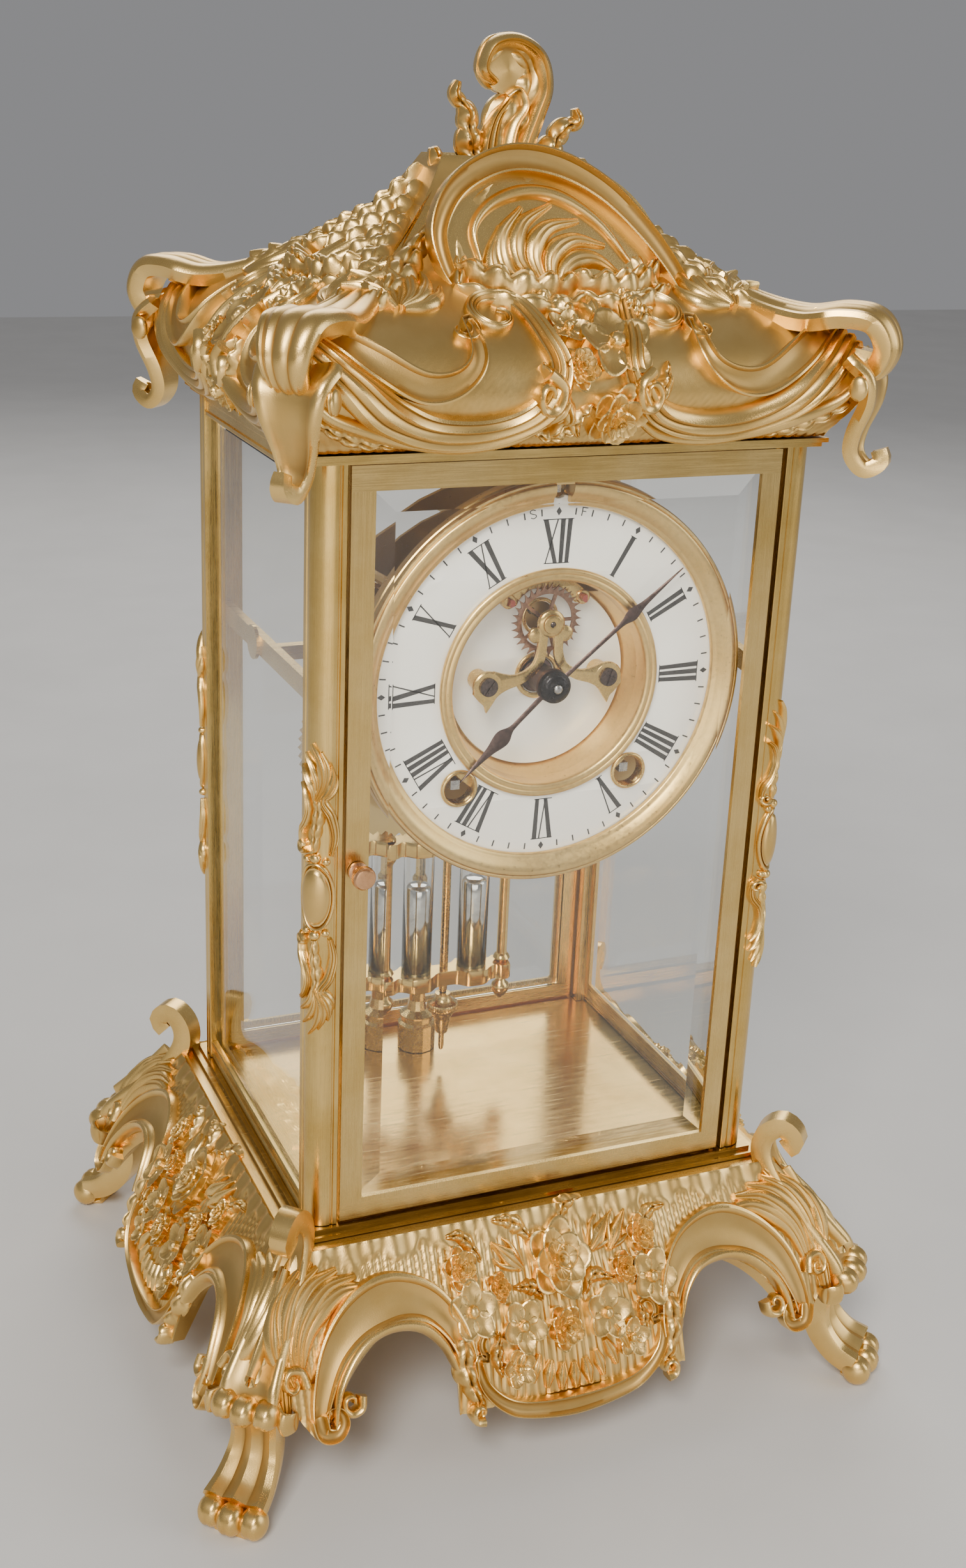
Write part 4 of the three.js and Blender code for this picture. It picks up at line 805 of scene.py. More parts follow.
def limb(piece, path, widths, rise, place, section=CHANNEL, thick=4.0, count=60):
    """A band that runs in a corner's diagonal plane, with its relief on the outer side."""
    line = curve(path, count)
    width = np.maximum(along(widths, count), 0.5)
    out = left_of(line)
    columns = []
    for a, h in list(section) + [(0.8, -thick / rise), (-0.8, -thick / rise)]:
        spot = line + out * (h * rise)
        columns.append(place(spot[:, 0], a * width / 2, spot[:, 1]))
    piece.add(*tube_solid(np.stack(columns, 1)))


def lobe(piece, centre, across, size, place, spokes=20):
    """A rounded knob: half extents outwards, across and up."""
    rows = []
    for a in np.linspace(0.04, math.pi - 0.04, 13):
        b = np.linspace(0, 2 * math.pi, spokes, endpoint=False)
        dent = 1 - 0.10 * np.exp(-(((a - math.pi / 2) / 0.22) ** 2))
        rows.append(place(centre[0] + size[0] * math.sin(a) * np.cos(b) * dent,
                          across + np.full(spokes, size[1] * math.cos(a)),
                          centre[1] + size[2] * math.sin(a) * np.sin(b) * dent))
    piece.add(*tube_solid(np.stack(rows, 0)))


def leg(sx, sy):
    """A scrolled knee, a fluted shin and a paw with three toes."""
    piece = Piece()
    place = diagonal(sx, sy)
    limb(piece, [(15.5, 89.5), (18, 92.5), (14, 96), (9.5, 92), (9, 85), (14, 76), (23, 66), (33, 57),
                 (40.5, 49), (43, 42)], [7, 8.5, 9.5, 10, 11, 13, 16, 19.5, 22, 22], 2.6, place, thick=5)
    limb(piece, [(15, 78), (22, 70), (31, 61), (40, 52)], [2, 4, 4.5, 3], 4.4, place, ROLL, 3, 30)
    for across in (-7.6, 0, 7.6):
        lobe(piece, (44 + (across == 0) * 1.4, 43), across, (6, 4.6, 5.4), place)
    limb(piece, [(42.5, 43), (38.5, 36), (37, 28), (39, 20), (45, 13.5), (52, 10.5)],
         [22, 19, 18, 19, 22, 24], 3.2, place, FLUTES, 7)
    for across in (-7.8, 0, 7.8):
        lobe(piece, (53 + (across == 0) * 1.4, 5.9), across, (5.6, 4.8, 5.8), place)
    limb(piece, [(47, 2.2), (50, 2.0), (55, 2.0)], [14, 18, 14], 1.4, place, ROLL, 1.9, 12)
    for s in (-1, 1):
        band_path = [(41, s * 10), (44, s * 14), (40, s * 16.5), (36.5, s * 14)]
        rows = curve([(r, a, 42 - 0.9 * k) for k, (r, a) in enumerate(band_path)], 26)
        wide = along([5, 4.6, 4, 2.4], 26)
        ring = [place(rows[:, 0] + wide * 0.4 * math.cos(t), rows[:, 1],
                      rows[:, 2] + wide * math.sin(t)) for t in np.linspace(0, 2 * math.pi, 10, False)]
        piece.add(*tube_solid(np.stack(ring, 1)))
    return piece


def make_base():
    """The four sides of the skirt, the legs, and the shelf that the case stands on."""
    front, side = base_side(CASE_X, CASE_Y), base_side(CASE_Y, CASE_X)
    for name, source, quarter in [("base_front", front, 0), ("base_back", front, 2),
                                  ("base_left", side, 1), ("base_right", side, 3)]:
        source.turned(quarter).make(name, "case", "gilt", ["base_casting"])
    legs = Piece()
    for sx in (-1, 1):
        for sy in (-1, 1):
            legs.join(leg(sx, sy))
    shelf = [(CASE_X + 8, SKIRT_TOP - 3.4), (CASE_X + 8.6, SKIRT_TOP - 2), (CASE_X + 7.4, SKIRT_TOP - 0.4),
             (CASE_X + 5, SKIRT_TOP), (CASE_X - 13, SKIRT_TOP), (CASE_X - 13, SKIRT_TOP - 3.4)]
    rows = []
    for x, z in shelf:
        inset = CASE_X - x
        y = CASE_Y - inset
        rows.append([(-x, -y, z), (x, -y, z), (x, y, z), (-x, y, z)])
    vertices = np.array(rows).reshape(-1, 3)
    legs.add(vertices, outward(vertices, net(len(shelf), 4, close_rows=True)))
    legs.make("base_legs", "case", "gilt", ["base_casting"])


# ---- cast crest -----------------------------------------------------------------------------
# Section of the crest from the eaves to the top: (distance outside the case, height)
ROOF = curve([(1.5, 350.3), (3, 353), (6.5, 358), (9.5, 364), (9.5, 370), (6, 377), (0, 382.5),
              (-9, 388), (-21, 394), (-34, 402), (-46, 412), (-55, 423), (-60, 431)], 240)
ROOF_RUN = np.concatenate([[0], np.cumsum(np.linalg.norm(np.diff(ROOF, axis=0), axis=1))])


def roof_surface(half_length, half_depth):
    """Places (x, distance up the slope, height) on the crest's front."""
    def place(x, s, h):
        x, s, h = np.broadcast_arrays(np.asarray(x, float), s, h)
        off = np.interp(s, ROOF_RUN, ROOF[:, 0]) + np.minimum(s, 0) * 0.4
        z = np.interp(s, ROOF_RUN, ROOF[:, 1]) + np.minimum(s, 0)
        d_off = np.interp(s + 1, ROOF_RUN, ROOF[:, 0]) - np.interp(s - 1, ROOF_RUN, ROOF[:, 0])
        d_z = np.interp(s + 1, ROOF_RUN, ROOF[:, 1]) - np.interp(s - 1, ROOF_RUN, ROOF[:, 1])
        size = np.hypot(d_off, d_z) + 1e-9
        scale = (half_length + off) / (CASE_X + off)
        return np.stack([x * scale, -(half_depth + off) - h * d_z / size, z - h * d_off / size], -1)
    return place


def crest_side(half_length, half_depth, front):
    """One side of the crest; the front leaves room for the cartouche."""
    piece = Piece()
    place = roof_surface(half_length, half_depth)
    columns = 150
    u = np.linspace(-1, 1, columns)
    sheet = []
    for s in np.linspace(0, ROOF_RUN[-1], 70):
        off = np.interp(s, ROOF_RUN, ROOF[:, 0])
        x = u * (CASE_X + off)
        comb = 0.5 * np.abs(np.sin((x + 0.8 * s) * math.pi / 3.4)) ** 0.7 * math.exp(-(s / 26) ** 4)
        sheet.append(place(x, np.full(columns, s), comb))
    back = [place(u * (CASE_X + np.interp(s, ROOF_RUN, ROOF[:, 0]) - 4), np.full(columns, s),
                  np.full(columns, -4.0)) for s in (ROOF_RUN[-1], 60, 30, 0)]
    piece.add(*tube_solid(np.stack(sheet + back, 0).transpose(1, 0, 2)))

    for s in (-1, 1):
        def mirrored(points):
            return [(s * x, z) for x, z in points]
        eye = spiral((27, 47), 11, 185, -1.2, 0.22, 12)
        band(piece, mirrored(list(reversed(eye)) + [(14, 36), (12, 25), (19, 14), (33, 8), (50, 8),
                                                    (66, 14), (79, 23), (90, 33)]),
             [2, 3, 4, 5, 6, 7, 8, 9.5, 11, 12, 12, 12, 12, 11.5, 11, 11], 5.2, place, STEPPED, 120)
        band(piece, mirrored(spiral((40, 40), 5, 120, 0.8) [::-1] + [(38, 30), (45, 23), (57, 22), (71, 29),
                                                                      (84, 39), (93, 46)]),
             [2, 3, 4, 6, 8, 9, 10, 10, 9, 8, 7], 4.4, place, CHANNEL, 80)
        band(piece, mirrored([(16, 10), (26, 3.5), (42, 1.5), (58, 4), (72, 9), (84, 14), (92, 20)]),
             [3, 4.5, 5, 5, 5, 5, 3], 3.6, place, ROLL, 60)
        leaf(piece, mirrored([(60, 3), (72, 4.5), (82, 9), (90, 14)]), [3, 7, 7, 3], 3.2, place, 5)
        leaf(piece, mirrored([(18, 28), (13, 20), (9, 12), (14, 5)]), [3, 6.5, 6, 2.5], 4.2, place, 4)
        band(piece, mirrored(spiral((17, 19), 5.2, 90, 1.3)), [4.5, 4.2, 3.8, 3.2, 2.2], 6.4, place, ROLL, 30)
        fan(piece, (s * 56, 50), [(s * x, z) for x, z in [(40, 62), (44, 69), (51, 73.5), (59, 74), (66, 70),
                                                          (71, 63)]], 3.2, place, 6.0, 0.16 * s)
        leaf(piece, mirrored([(34, 62), (30, 74), (24, 86), (16, 94)]), [4, 9, 8, 2], 4.2, place, 5)
        leaf(piece, mirrored([(64, 52), (54, 64), (44, 78), (33, 92)]), [5, 12, 11, 3], 4.4, place, 6)
    for path in ([(-34, 63), (-20, 54), (-4, 52), (8, 57)], [(38, 62), (26, 55), (14, 53), (4, 58)],
                 [(-14, 60), (-4, 50), (-2, 42)], [(18, 60), (20, 50), (15, 44)]):
        leaf(piece, path, [3, 8, 9, 7, 2.5], 4.6, place, 5, 44)
    for path in ([(-32, 72), (-20, 63), (-6, 60), (6, 64)], [(38, 72), (27, 63), (15, 61), (5, 66)]):
        leaf(piece, path, [4, 11, 12, 4], 8.0, place, 5, 44)
    rose(piece, (7, 12), 9.5, 6.5, place)
    blossom(piece, (8, 34), 11.5, 5.4, place, 5, 0.4)
    blossom(piece, (-6, 40), 6.5, 4.6, place, 5, 1.2)
    rose(piece, (-6, 26), 6.0, 5.6, place, 1.0)
    for root, tip, width in [((-3, 46), (-9, 54), 5), ((6, 46), (6, 56), 5.5), ((-10, 18), (-15, 10), 5)]:
        bud(piece, root, tip, width, 4.2, place)
    for path, width in [([(16, 14), (22, 20), (24, 28)], 7), ([(-4, 8), (-12, 5), (-20, 7)], 7),
                        ([(16, 40), (22, 46), (22, 54)], 6), ([(-2, 16), (-6, 10), (-3, 4)], 6)]:
        leaf(piece, path, [2, width, width * 0.9, 1.5], 3.6, place, 4, 36)
    if not front:
        for path in ([(0, 76), (-5, 92), (-2, 112)], [(-15, 72), (-19, 88), (-13, 106)],
                     [(15, 72), (19, 88), (13, 106)], [(-32, 66), (-38, 78), (-31, 93)],
                     [(32, 66), (38, 78), (31, 93)]):
            leaf(piece, path, [8, 15, 5], 5.0, place, 5, 48)
        fan(piece, (0, 58), [(-18, 70), (-12, 78), (-4, 82), (4, 82), (12, 78), (18, 70)], 3.4, place, 6.4, 0)
    return piece


def corner_volute(sx, sy):
    """The scroll that runs down a hip of the roof and hangs below the eaves."""
    piece = Piece()
    place = diagonal(sx, sy)
    limb(piece, [(-46, 400), (-26, 391), (-8, 387.5), (6, 389.5), (16, 388), (20.5, 380), (17, 372.5),
                 (11.5, 374), (12, 379)], [6, 12, 18, 23, 26, 26, 22, 14, 8], 3.4, place, STEPPED, 4, 90)
    limb(piece, [(10, 377), (16.5, 371), (17, 363), (13.5, 353), (13, 346), (17, 341.5), (21.5, 344),
                 (20.5, 347.5)], [26, 27, 20, 12.5, 10, 9, 7, 4], 2.2, place, CHANNEL, 3, 60)
    for s in (-1, 1):
        lobe(piece, (14.5, 368), s * 12.6, (3.2, 1.8, 4.2), place)
    return piece


def leaning(origin, tilt, flip=1):
    """Places (u, v, height) on a plane through origin that leans back by tilt degrees."""
    c, k = math.cos(math.radians(tilt)), math.sin(math.radians(tilt))

    def place(u, v, h):
        u, v, h = np.broadcast_arrays(np.asarray(u, float), v, h)
        return np.stack([origin[0] + u, origin[1] + v * k - flip * h * c,
                         origin[2] + v * c + flip * h * k], -1)
    return place


def cartouche(piece):
    """The shell-shaped shield that leans back on the front of the roof."""
    place = leaning((0, -44, 392), 24)
    columns = 72

    def outline(angle):
        return 31 + 3.5 * np.cos(2 * angle)

    def hollow(r, angle):
        swirl = np.abs(np.sin(4.5 * (angle + 1.5 * r)))
        return 1.2 * swirl * np.minimum(1, 3 * r) * (r < 0.97) - 1.5 * (1 - r * r)

    disc(piece, (2, 12), outline, hollow, place, 24, columns)
    band(piece, spiral((-26, 3), 6, 200, -1.1)[::-1] + [(-36, 8), (-37, 20), (-29, 33), (-13, 41),
                                                         (4, 40), (20, 32), (33, 19), (42, 6), (47, -5)],
         [2, 3, 4, 6, 8, 9.5, 10, 10, 9.5, 9, 8, 7, 5], 5.6, place, CHANNEL, 120)
    band(piece, [(-24, 10), (-25, 20), (-18, 28), (-6, 32), (6, 30), (18, 22), (27, 10)],
         [2, 4, 5, 5, 5, 4, 2], 3.8, place, ROLL, 60)
    fan(piece, (-2, -4), [(-20, 12), (-16, 21), (-8, 27), (2, 28), (11, 23), (19, 15), (24, 5)],
        3.6, place, 7.5, 0.34)
    back = leaning((0, -44, 392), 24, -1)
    disc(piece, (2, 12), lambda a: outline(a) + 3, lambda r, a: 2.2 - 1.2 * r, back, 8, columns)


def finial(piece):
    """A broad acanthus whose head curls over to the left, with a leaf on either side of it."""
    for flip in (1, -1):
        place = leaning((0, -4, 424), 2, flip)
        leaf(piece, [(-1, -8), (-2, 5), (0, 16), (5, 25), (6.5, 32), (2, 38), (-5, 39), (-9.5, 34), (-7, 29),
                     (-3, 31)], [27, 28, 27, 20, 13, 10, 9, 8, 6, 3], 4.6, place, 7, 110)
        disc(piece, (-2, 33), lambda a: np.full_like(a, 7.5), lambda r, a: 3.4 - 1.6 * r, place, 8, 32)
        band(piece, [(2, -6), (4, 8), (8, 19), (11, 28), (8.5, 37), (1, 41.5), (-7, 40), (-10, 33), (-6, 29)],
             [6, 7, 7, 6.5, 6, 6, 5.5, 4.5, 3], 7.0, place, CROWN, 70)
        band(piece, [(-6, -6), (-8, 6), (-6, 17), (-1, 24)], [6, 8, 7, 3], 6.4, place, STEPPED)
        band(piece, [(-1, -6), (-2, 7), (0, 16), (4, 22), (2, 27), (-2, 25)], [5, 7, 6, 5, 4, 2.5], 6.8,
             place, ROLL)
        leaf(piece, [(-5, -6), (-11, 3), (-14, 12), (-15, 20), (-19, 25), (-18, 29)],
             [13, 15, 13, 10, 7, 3], 5.2, place, 5)
        leaf(piece, [(5, -6), (12, 2), (15, 10), (19, 16), (24, 18), (23, 22)],
             [13, 15, 12, 10, 7, 3], 5.2, place, 5)
        leaf(piece, [(-12, -10), (-20, -4), (-24, 3), (-26, 9)], [9, 11, 9, 4], 4.6, place, 4)
    lathe(piece, [(0.5, 412), (16, 413), (17, 418), (12, 424), (7, 428), (0.5, 430)], standing(0, -2), 40)


def make_crest():
    front, back = crest_side(CASE_X, CASE_Y, True), crest_side(CASE_X, CASE_Y, False)
    side = crest_side(CASE_Y, CASE_X, False)
    for name, source, quarter in [("crest_front", front, 0), ("crest_back", back, 2),
                                  ("crest_left", side, 1), ("crest_right", side, 3)]:
        source.turned(quarter).make(name, "case", "gilt", ["top_casting"])
    corners = Piece()
    for sx in (-1, 1):
        for sy in (-1, 1):
            corners.join(corner_volute(sx, sy))
    corners.make("crest_corners", "case", "gilt", ["top_casting"])
    top = Piece()
    cartouche(top)
    finial(top)
    top.make("crest_cartouche", "case", "gilt", ["top_casting"])


make_base()
make_crest()


# ---- dial -----------------------------------------------------------------------------------
TIME_AT, STRIKE_AT = [(middle(n)[0], middle(n)[2]) for n in ("time_winding_arbor",
                                                            "strike_winding_arbor")]
DIAL_AT, ESCAPE_AT, ANCHOR_AT = (0, DIAL_Z), (0, ESCAPE_Z), (0, 301)
REGULATE_AT = (0, middle("regulator_arbor")[2])
NOTCH_R = 3.0
RING_R, OPENING_R, DISC_R, WINDING_R = 61, 36.8, 31.2, 5.8
MINUTE_AT, THIRD_AT = (8.846, 264.167), (-13.82, 282.75)


def prism(piece, outline, place, low, high):
    """A flat solid: `outline` in (u, v), from height `low` to `high`."""
    n = len(outline)
    u, v = np.array(outline, float).T
    vertices = np.concatenate([place(u, v, np.full(n, float(low))), place(u, v, np.full(n, float(high)))])
    faces = [(i, (i + 1) % n, n + (i + 1) % n, n + i) for i in range(n)]
    faces += [tuple(reversed(range(n))), tuple(range(n, 2 * n))]
    piece.add(vertices, outward(vertices, faces))


def upright(u, v, h):
    """Drawn in X and Z; the height is the place on Y."""
    return np.stack([u, h, v], -1)


def block(piece, x0, x1, y0, y1, z0, z1):
    """A box between two corners."""
    prism(piece, [(x0, z0), (x1, z0), (x1, z1), (x0, z1)], upright, y0, y1)


def circle_at(at, radius, count=48):
    """Outline of a round hole or edge, in X and Z."""
    return [(at[0] + x, at[1] + z) for x, z in ring_points(radius, count)]


def sector(piece, section, start, end, at, count=120):
    """A turned section (radius, y) swept only from one angle to another."""
    angle = np.linspace(start, end, count)
    grid = np.stack([np.stack([at[0] + r * np.cos(angle), np.full(count, y), at[1] + r * np.sin(angle)], -1)
                     for r, y in section], 1)
    piece.add(*tube_solid(grid))


def gear_outline(teeth, module, phase):
    """Rounded teeth on the pitch circle, one of them centred on the direction `phase`."""
    shape = [(-0.42, -1.05), (-0.27, -0.2), (-0.13, 0.22), (0, 0.25), (0.13, 0.22), (0.27, -0.2),
             (0.42, -1.05)]
    points = []
    for i in range(teeth):
        for f, rise in shape:
            a = phase + (i + f) * 2 * math.pi / teeth
            r = module * (teeth / 2 + rise)
            points.append((r * math.cos(a), r * math.sin(a)))
    return points


def mesh_phase(teeth_a, at_a, teeth_b, at_b):
    """Phase that lets gear b mesh with gear a, which has a tooth at angle 0."""
    line = math.atan2(at_b[1] - at_a[1], at_b[0] - at_a[0])
    return line + math.pi + (line * teeth_a / (2 * math.pi) + 0.5) * 2 * math.pi / teeth_b


def notched_circle(radius, count):
    """The edge of the enamel, with the regulating hole cut into it at twelve."""
    points = []
    reach = REGULATE_AT[1] - DIAL_Z
    for a in np.linspace(0, 2 * math.pi, count, endpoint=False):
        across = reach * math.sin(a)
        r = radius
        if math.cos(a) > 0 and abs(across) < NOTCH_R:
            r = min(radius, reach * math.cos(a) - math.sqrt(NOTCH_R ** 2 - across ** 2))
        points.append((r * math.sin(a), DIAL_Z + r * math.cos(a)))
    return points


def make_dial_plates():
    """Bezel, enamel ring and disc, winding rings, the wall of the recess and its collars."""
    bezel = Piece()
    gap = math.asin(NOTCH_R / (REGULATE_AT[1] - DIAL_Z))
    sector(bezel, [(59.5, -55.9), (59.5, -57.0), (59.9, -57.5), (60.7, -57.7), (61.4, -58.2), (63, -59.6),
                  (64.6, -60.3), (65.9, -60.4), (66.4, -60.1), (66.6, -59.7), (66.9, -59.9),
                  (67.5, -59.8), (67.95, -59.2), (68, -58.4), (67.8, -57.8), (67.5, -57.5), (68, -57.1),
                  (68, -54), (67.6, -53.5), (61.5, -53.5), (61.5, -55.9)], math.pi / 2 + gap,
           5 * math.pi / 2 - gap, DIAL_AT, 240)
    sector(bezel, [(66.2, -59.8), (66.9, -59.9), (67.5, -59.8), (67.95, -59.2), (68, -58.4), (67.8, -57.8),
                   (67.5, -57.5), (68, -57.1), (68, -54), (67.6, -53.5), (66.2, -53.5)],
           math.pi / 2 - gap, math.pi / 2 + gap, DIAL_AT, 8)
    lathe(bezel, [(NOTCH_R, -53.4), (NOTCH_R, -46), (4.6, -46), (4.6, -53.4), (NOTCH_R, -53.4)],
          facing(*REGULATE_AT), 36)
    for angle in (30, 150, 270):
        a = math.radians(angle)
        lathe(bezel, [(0.2, -53.1), (2.4, -53.1), (2.4, -40.2), (1.9, -39.4), (1.9, -38.3), (0.2, -38.3)],
              facing(47 * math.cos(a), DIAL_Z + 47 * math.sin(a)), 24)
    bezel.make("dial_ring", "case", "brass_bezel", ["dial_bezel"])
    holes = [circle_at(at, 6.8, 40) for at in (TIME_AT, STRIKE_AT)] + [circle_at(REGULATE_AT, NOTCH_R, 24)]
    slab("dial_back", [circle_at(DIAL_AT, 67, 120), circle_at(DIAL_AT, 43, 120)] + holes, -53.4, -53.0,
         "case", "brass_turned", ["dial_bezel"])
    holes = [circle_at(at, WINDING_R, 48) for at in (TIME_AT, STRIKE_AT)]
    slab("dial_enamel_ring", [notched_circle(RING_R, 720), circle_at(DIAL_AT, OPENING_R, 160)] + holes,
         ENAMEL_Y, ENAMEL_Y + 1.8, "case", "enamel", ["chapter_ring"], 0.2)
    slab("dial_enamel_disc", [circle_at(DIAL_AT, DISC_R, 160), circle_at(DIAL_AT, 6.2, 64),
                              circle_at(ESCAPE_AT, 5.2, 48), circle_at(ANCHOR_AT, 2, 24)],
         RECESS_Y, RECESS_Y + 1.2, "case", "enamel", ["inner_disc"], 0.15)
    for side, at in (("left", STRIKE_AT), ("right", TIME_AT)):
        grommet = Piece()
        lathe(grommet, [(5.1, -52), (5.1, -56.1), (5.25, -56.5), (5.6, -56.75), (6, -56.7), (6.35, -56.4),
                        (6.5, -56), (6.5, -55.8), (5.5, -55.8), (5.5, -52), (5.1, -52)], facing(*at), 72)
        grommet.make("winding_ring_" + side, "case", "brass_turned", ["winding_grommet_" + side])
    axis = facing(*DIAL_AT)
    cup = Piece()
    lathe(cup, [(39, -55.8), (39.1, -56.3), (38.8, -56.9), (38.2, -57.25), (37.5, -57.15), (37.1, -56.85),
                (36.7, -57.0), (36.1, -57.2), (35.4, -57.1), (34.9, -56.7), (34.65, -56.1), (34.5, -55),
                (34.1, -51.1), (34.7, -51.1), (34.9, -52.9), (36.3, -53.6), (36.3, -55.8), (39, -55.8)],
          axis, 180)
    sector(cup, [(34.1, -51.1), (33.4, -48.6), (32.5, -45.8), (31.7, -44.3), (31.7, -43.6), (30.4, -43.5),
                 (30.4, -43.2), (32.6, -43.2), (33.6, -46.4), (34.7, -51.1)],
           math.radians(122), math.radians(418), DIAL_AT, 160)
    cup.make("recess_wall", "case", "brass_bezel", ["recess_cup"])
    collar = Piece()
    lathe(collar, [(6.3, -45.0), (6.3, -45.9), (6.7, -46.2), (7.6, -46.2), (8, -45.9), (8, -45.0),
                   (6.3, -45.0)], axis, 72)
    lathe(collar, [(5.3, -45.0), (5.3, -45.5), (5.6, -45.7), (6.1, -45.7), (6.4, -45.5), (6.4, -45.0),
                   (5.3, -45.0)], facing(*ESCAPE_AT), 64)
    collar.make("dial_collars", "case", "brass_turned", ["recess_cup"])


def make_numerals():
    """Roman numerals with their feet to the centre, minute strokes and five-minute diamonds."""
    piece = Piece()
    low, high, mid = 40.4, 55.0, 47.8
    paint_on, paint_in = ENAMEL_Y - 0.07, ENAMEL_Y + 0.05

    def stroke(minute, corners):
        a = -minute * math.pi / 30

        def place(t, r, h):
            t = t * (0.35 + 0.65 * r / mid)
            return np.stack([t * math.cos(a) - r * math.sin(a), h,
                             DIAL_Z + t * math.sin(a) + r * math.cos(a)], -1)
        prism(piece, corners, place, paint_on, paint_in)

    def bar(minute, bottom, top, width, r0=low, r1=high):
        half = width / 2
        stroke(minute, [(bottom - half, r0), (bottom + half, r0), (top + half, r1), (top - half, r1)])

    def letters(minute, text):
        size = {"I": 2.3, "V": 4.9, "X": 5.4}
        t = -sum(size[c] for c in text) / 2
        for c in text:
            w = size[c]
            m = t + w / 2
            if c == "I":
                bar(minute, m, m, 1.52)
            elif c == "V":
                bar(minute, m + 0.25, m - w / 2 + 0.85, 1.52)
                bar(minute, m + 0.3, m + w / 2 - 0.4, 0.44)
            else:
                bar(minute, m + w / 2 - 0.95, m - w / 2 + 0.95, 1.56)
                bar(minute, m - w / 2 + 0.5, m + w / 2 - 0.5, 0.44)
            t += w
        half = sum(size[c] for c in text) / 2
        for r in (low, high - 0.3):
            inset = 1.0 if text[-1] == "V" and r == low else 0.0
            stroke(minute, [(-half + inset, r), (half - inset, r), (half - inset, r + 0.3),
                            (-half + inset, r + 0.3)])

    for hour, text in enumerate(["XII", "I", "II", "III", "IIII", "V", "VI", "VII", "VIII", "IX", "X", "XI"]):
        letters(hour * 5, text)
        stroke(hour * 5, [(0, 56.0), (0.85, 57.4), (0, 58.8), (-0.85, 57.4)])
    for minute in range(60):
        if minute % 5:
            bar(minute, 0, 0, 0.42, 56.3, 58.5)
    for t0, t1, r0, r1 in [(-0.85, -0.55, 56.1, 59), (-0.85, 0.9, 58.7, 59), (-0.85, 0.5, 57.5, 57.8)]:
        stroke(1.5, [(t0, r0), (t1, r0), (t1, r1), (t0, r1)])
    snake = curve([(0.8, 58.5), (0.1, 58.9), (-0.7, 58.7), (-0.8, 58.0), (0, 57.5), (0.8, 57.1), (0.8, 56.4),
                   (0, 56.1), (-0.8, 56.5)], 26)
    for (t0, r0), (t1, r1) in zip(snake[:-1], snake[1:]):
        across = np.array([r0 - r1, t1 - t0]) / math.hypot(t1 - t0, r1 - r0) * 0.14
        stroke(-1.5, [(t0 - across[0], r0 - across[1]), (t1 - across[0], r1 - across[1]),
                      (t1 + across[0], r1 + across[1]), (t0 + across[0], r0 + across[1])])
    piece.make("dial_numerals", "case", "paint", ["chapter_ring"])


# ---- open escapement ------------------------------------------------------------------------
BRIDGE_TOP = [(3.9, 288), (4.2, 282.9), (4.4, 279.3), (5.7, 275.7), (8.5, 273.4), (11.9, 272.3),
              (15.3, 272.7), (19.5, 274)]
BRIDGE_BOTTOM = [(19.9, 263.6), (18.2, 266), (14.9, 267.9), (10.2, 269.4), (6.9, 271.2), (4.4, 273.1),
                 (2.3, 276.3), (1.6, 280.3), (1.2, 288)]
BRIDGE_SPUR = [(26.4, 267), (24.2, 264.4), (22.6, 262.9), (21.8, 260.8)]
FOOT_X, FOOT_Z, SCREW_R = 21.6, 269.3, 3.1


def make_bridge():
    """The bridge over the escape wheel: two swept legs, a boss for the arbor, and the screws."""
    front, back = -55.0, -53.4
    for side, s in (("left", -1), ("right", 1)):
        outline = [(s * x, z) for x, z in list(curve(BRIDGE_TOP, 40)) + [(26.2, 270)]
                   + list(curve(BRIDGE_SPUR, 12)) + list(curve(BRIDGE_BOTTOM, 40))]
        slab("bridge_leg_" + side, [outline], front, back, "case", "brass_turned", ["escape_bridge"], 0.25)
    rest = Piece()
    for s in (-1, 1):
        foot = facing(s * FOOT_X, FOOT_Z)
        lathe(rest, [(0.3, front - 0.06), (4.7, front - 0.06), (5.1, front + 0.3), (5.1, back - 0.2),
                     (3.4, back - 0.1), (3.4, -45.3), (0.3, -45.3)], foot, 56)
        lathe(rest, [(0.3, front + 0.04), (2.3, front + 0.04), (2.6, front + 0.3), (2.6, back), (0.3, back)],
              facing(s * 5.2, 285.4), 40)
    lathe(rest, [(0.2, -55.4), (0.8, -55.5), (1.0, -55.9), (2.5, -56.1), (3.1, -55.9), (3.3, -55.5),
                 (4.1, -55.35), (4.6, -54.9), (4.6, back), (0.2, back)], facing(*ESCAPE_AT), 64)
    rest.make("bridge_bosses", "case", "brass_turned", ["escape_bridge"])
    screws = Piece()
    for s, turn in ((-1, 0.95), (1, 1.25)):
        lathe(screws, [(0.2, front - 0.3), (SCREW_R, front - 0.3), (SCREW_R, front - 0.02),
                       (0.2, front - 0.02)], facing(s * FOOT_X, FOOT_Z), 40)
        for k in (0, math.pi):
            a = np.linspace(0.14, math.pi - 0.14, 26) + turn + k
            edge = [(s * FOOT_X + SCREW_R * math.cos(t), FOOT_Z + SCREW_R * math.sin(t)) for t in a]
            prism(screws, edge, upright, front - 0.85, front - 0.25)
    lathe(screws, [(0.1, -56.3), (0.5, -56.2), (0.8, -55.9), (0.8, -53), (0.1, -53)], facing(*ESCAPE_AT), 24)
    screws.make("bridge_screws", "case", "screw_steel", ["escape_bridge"])


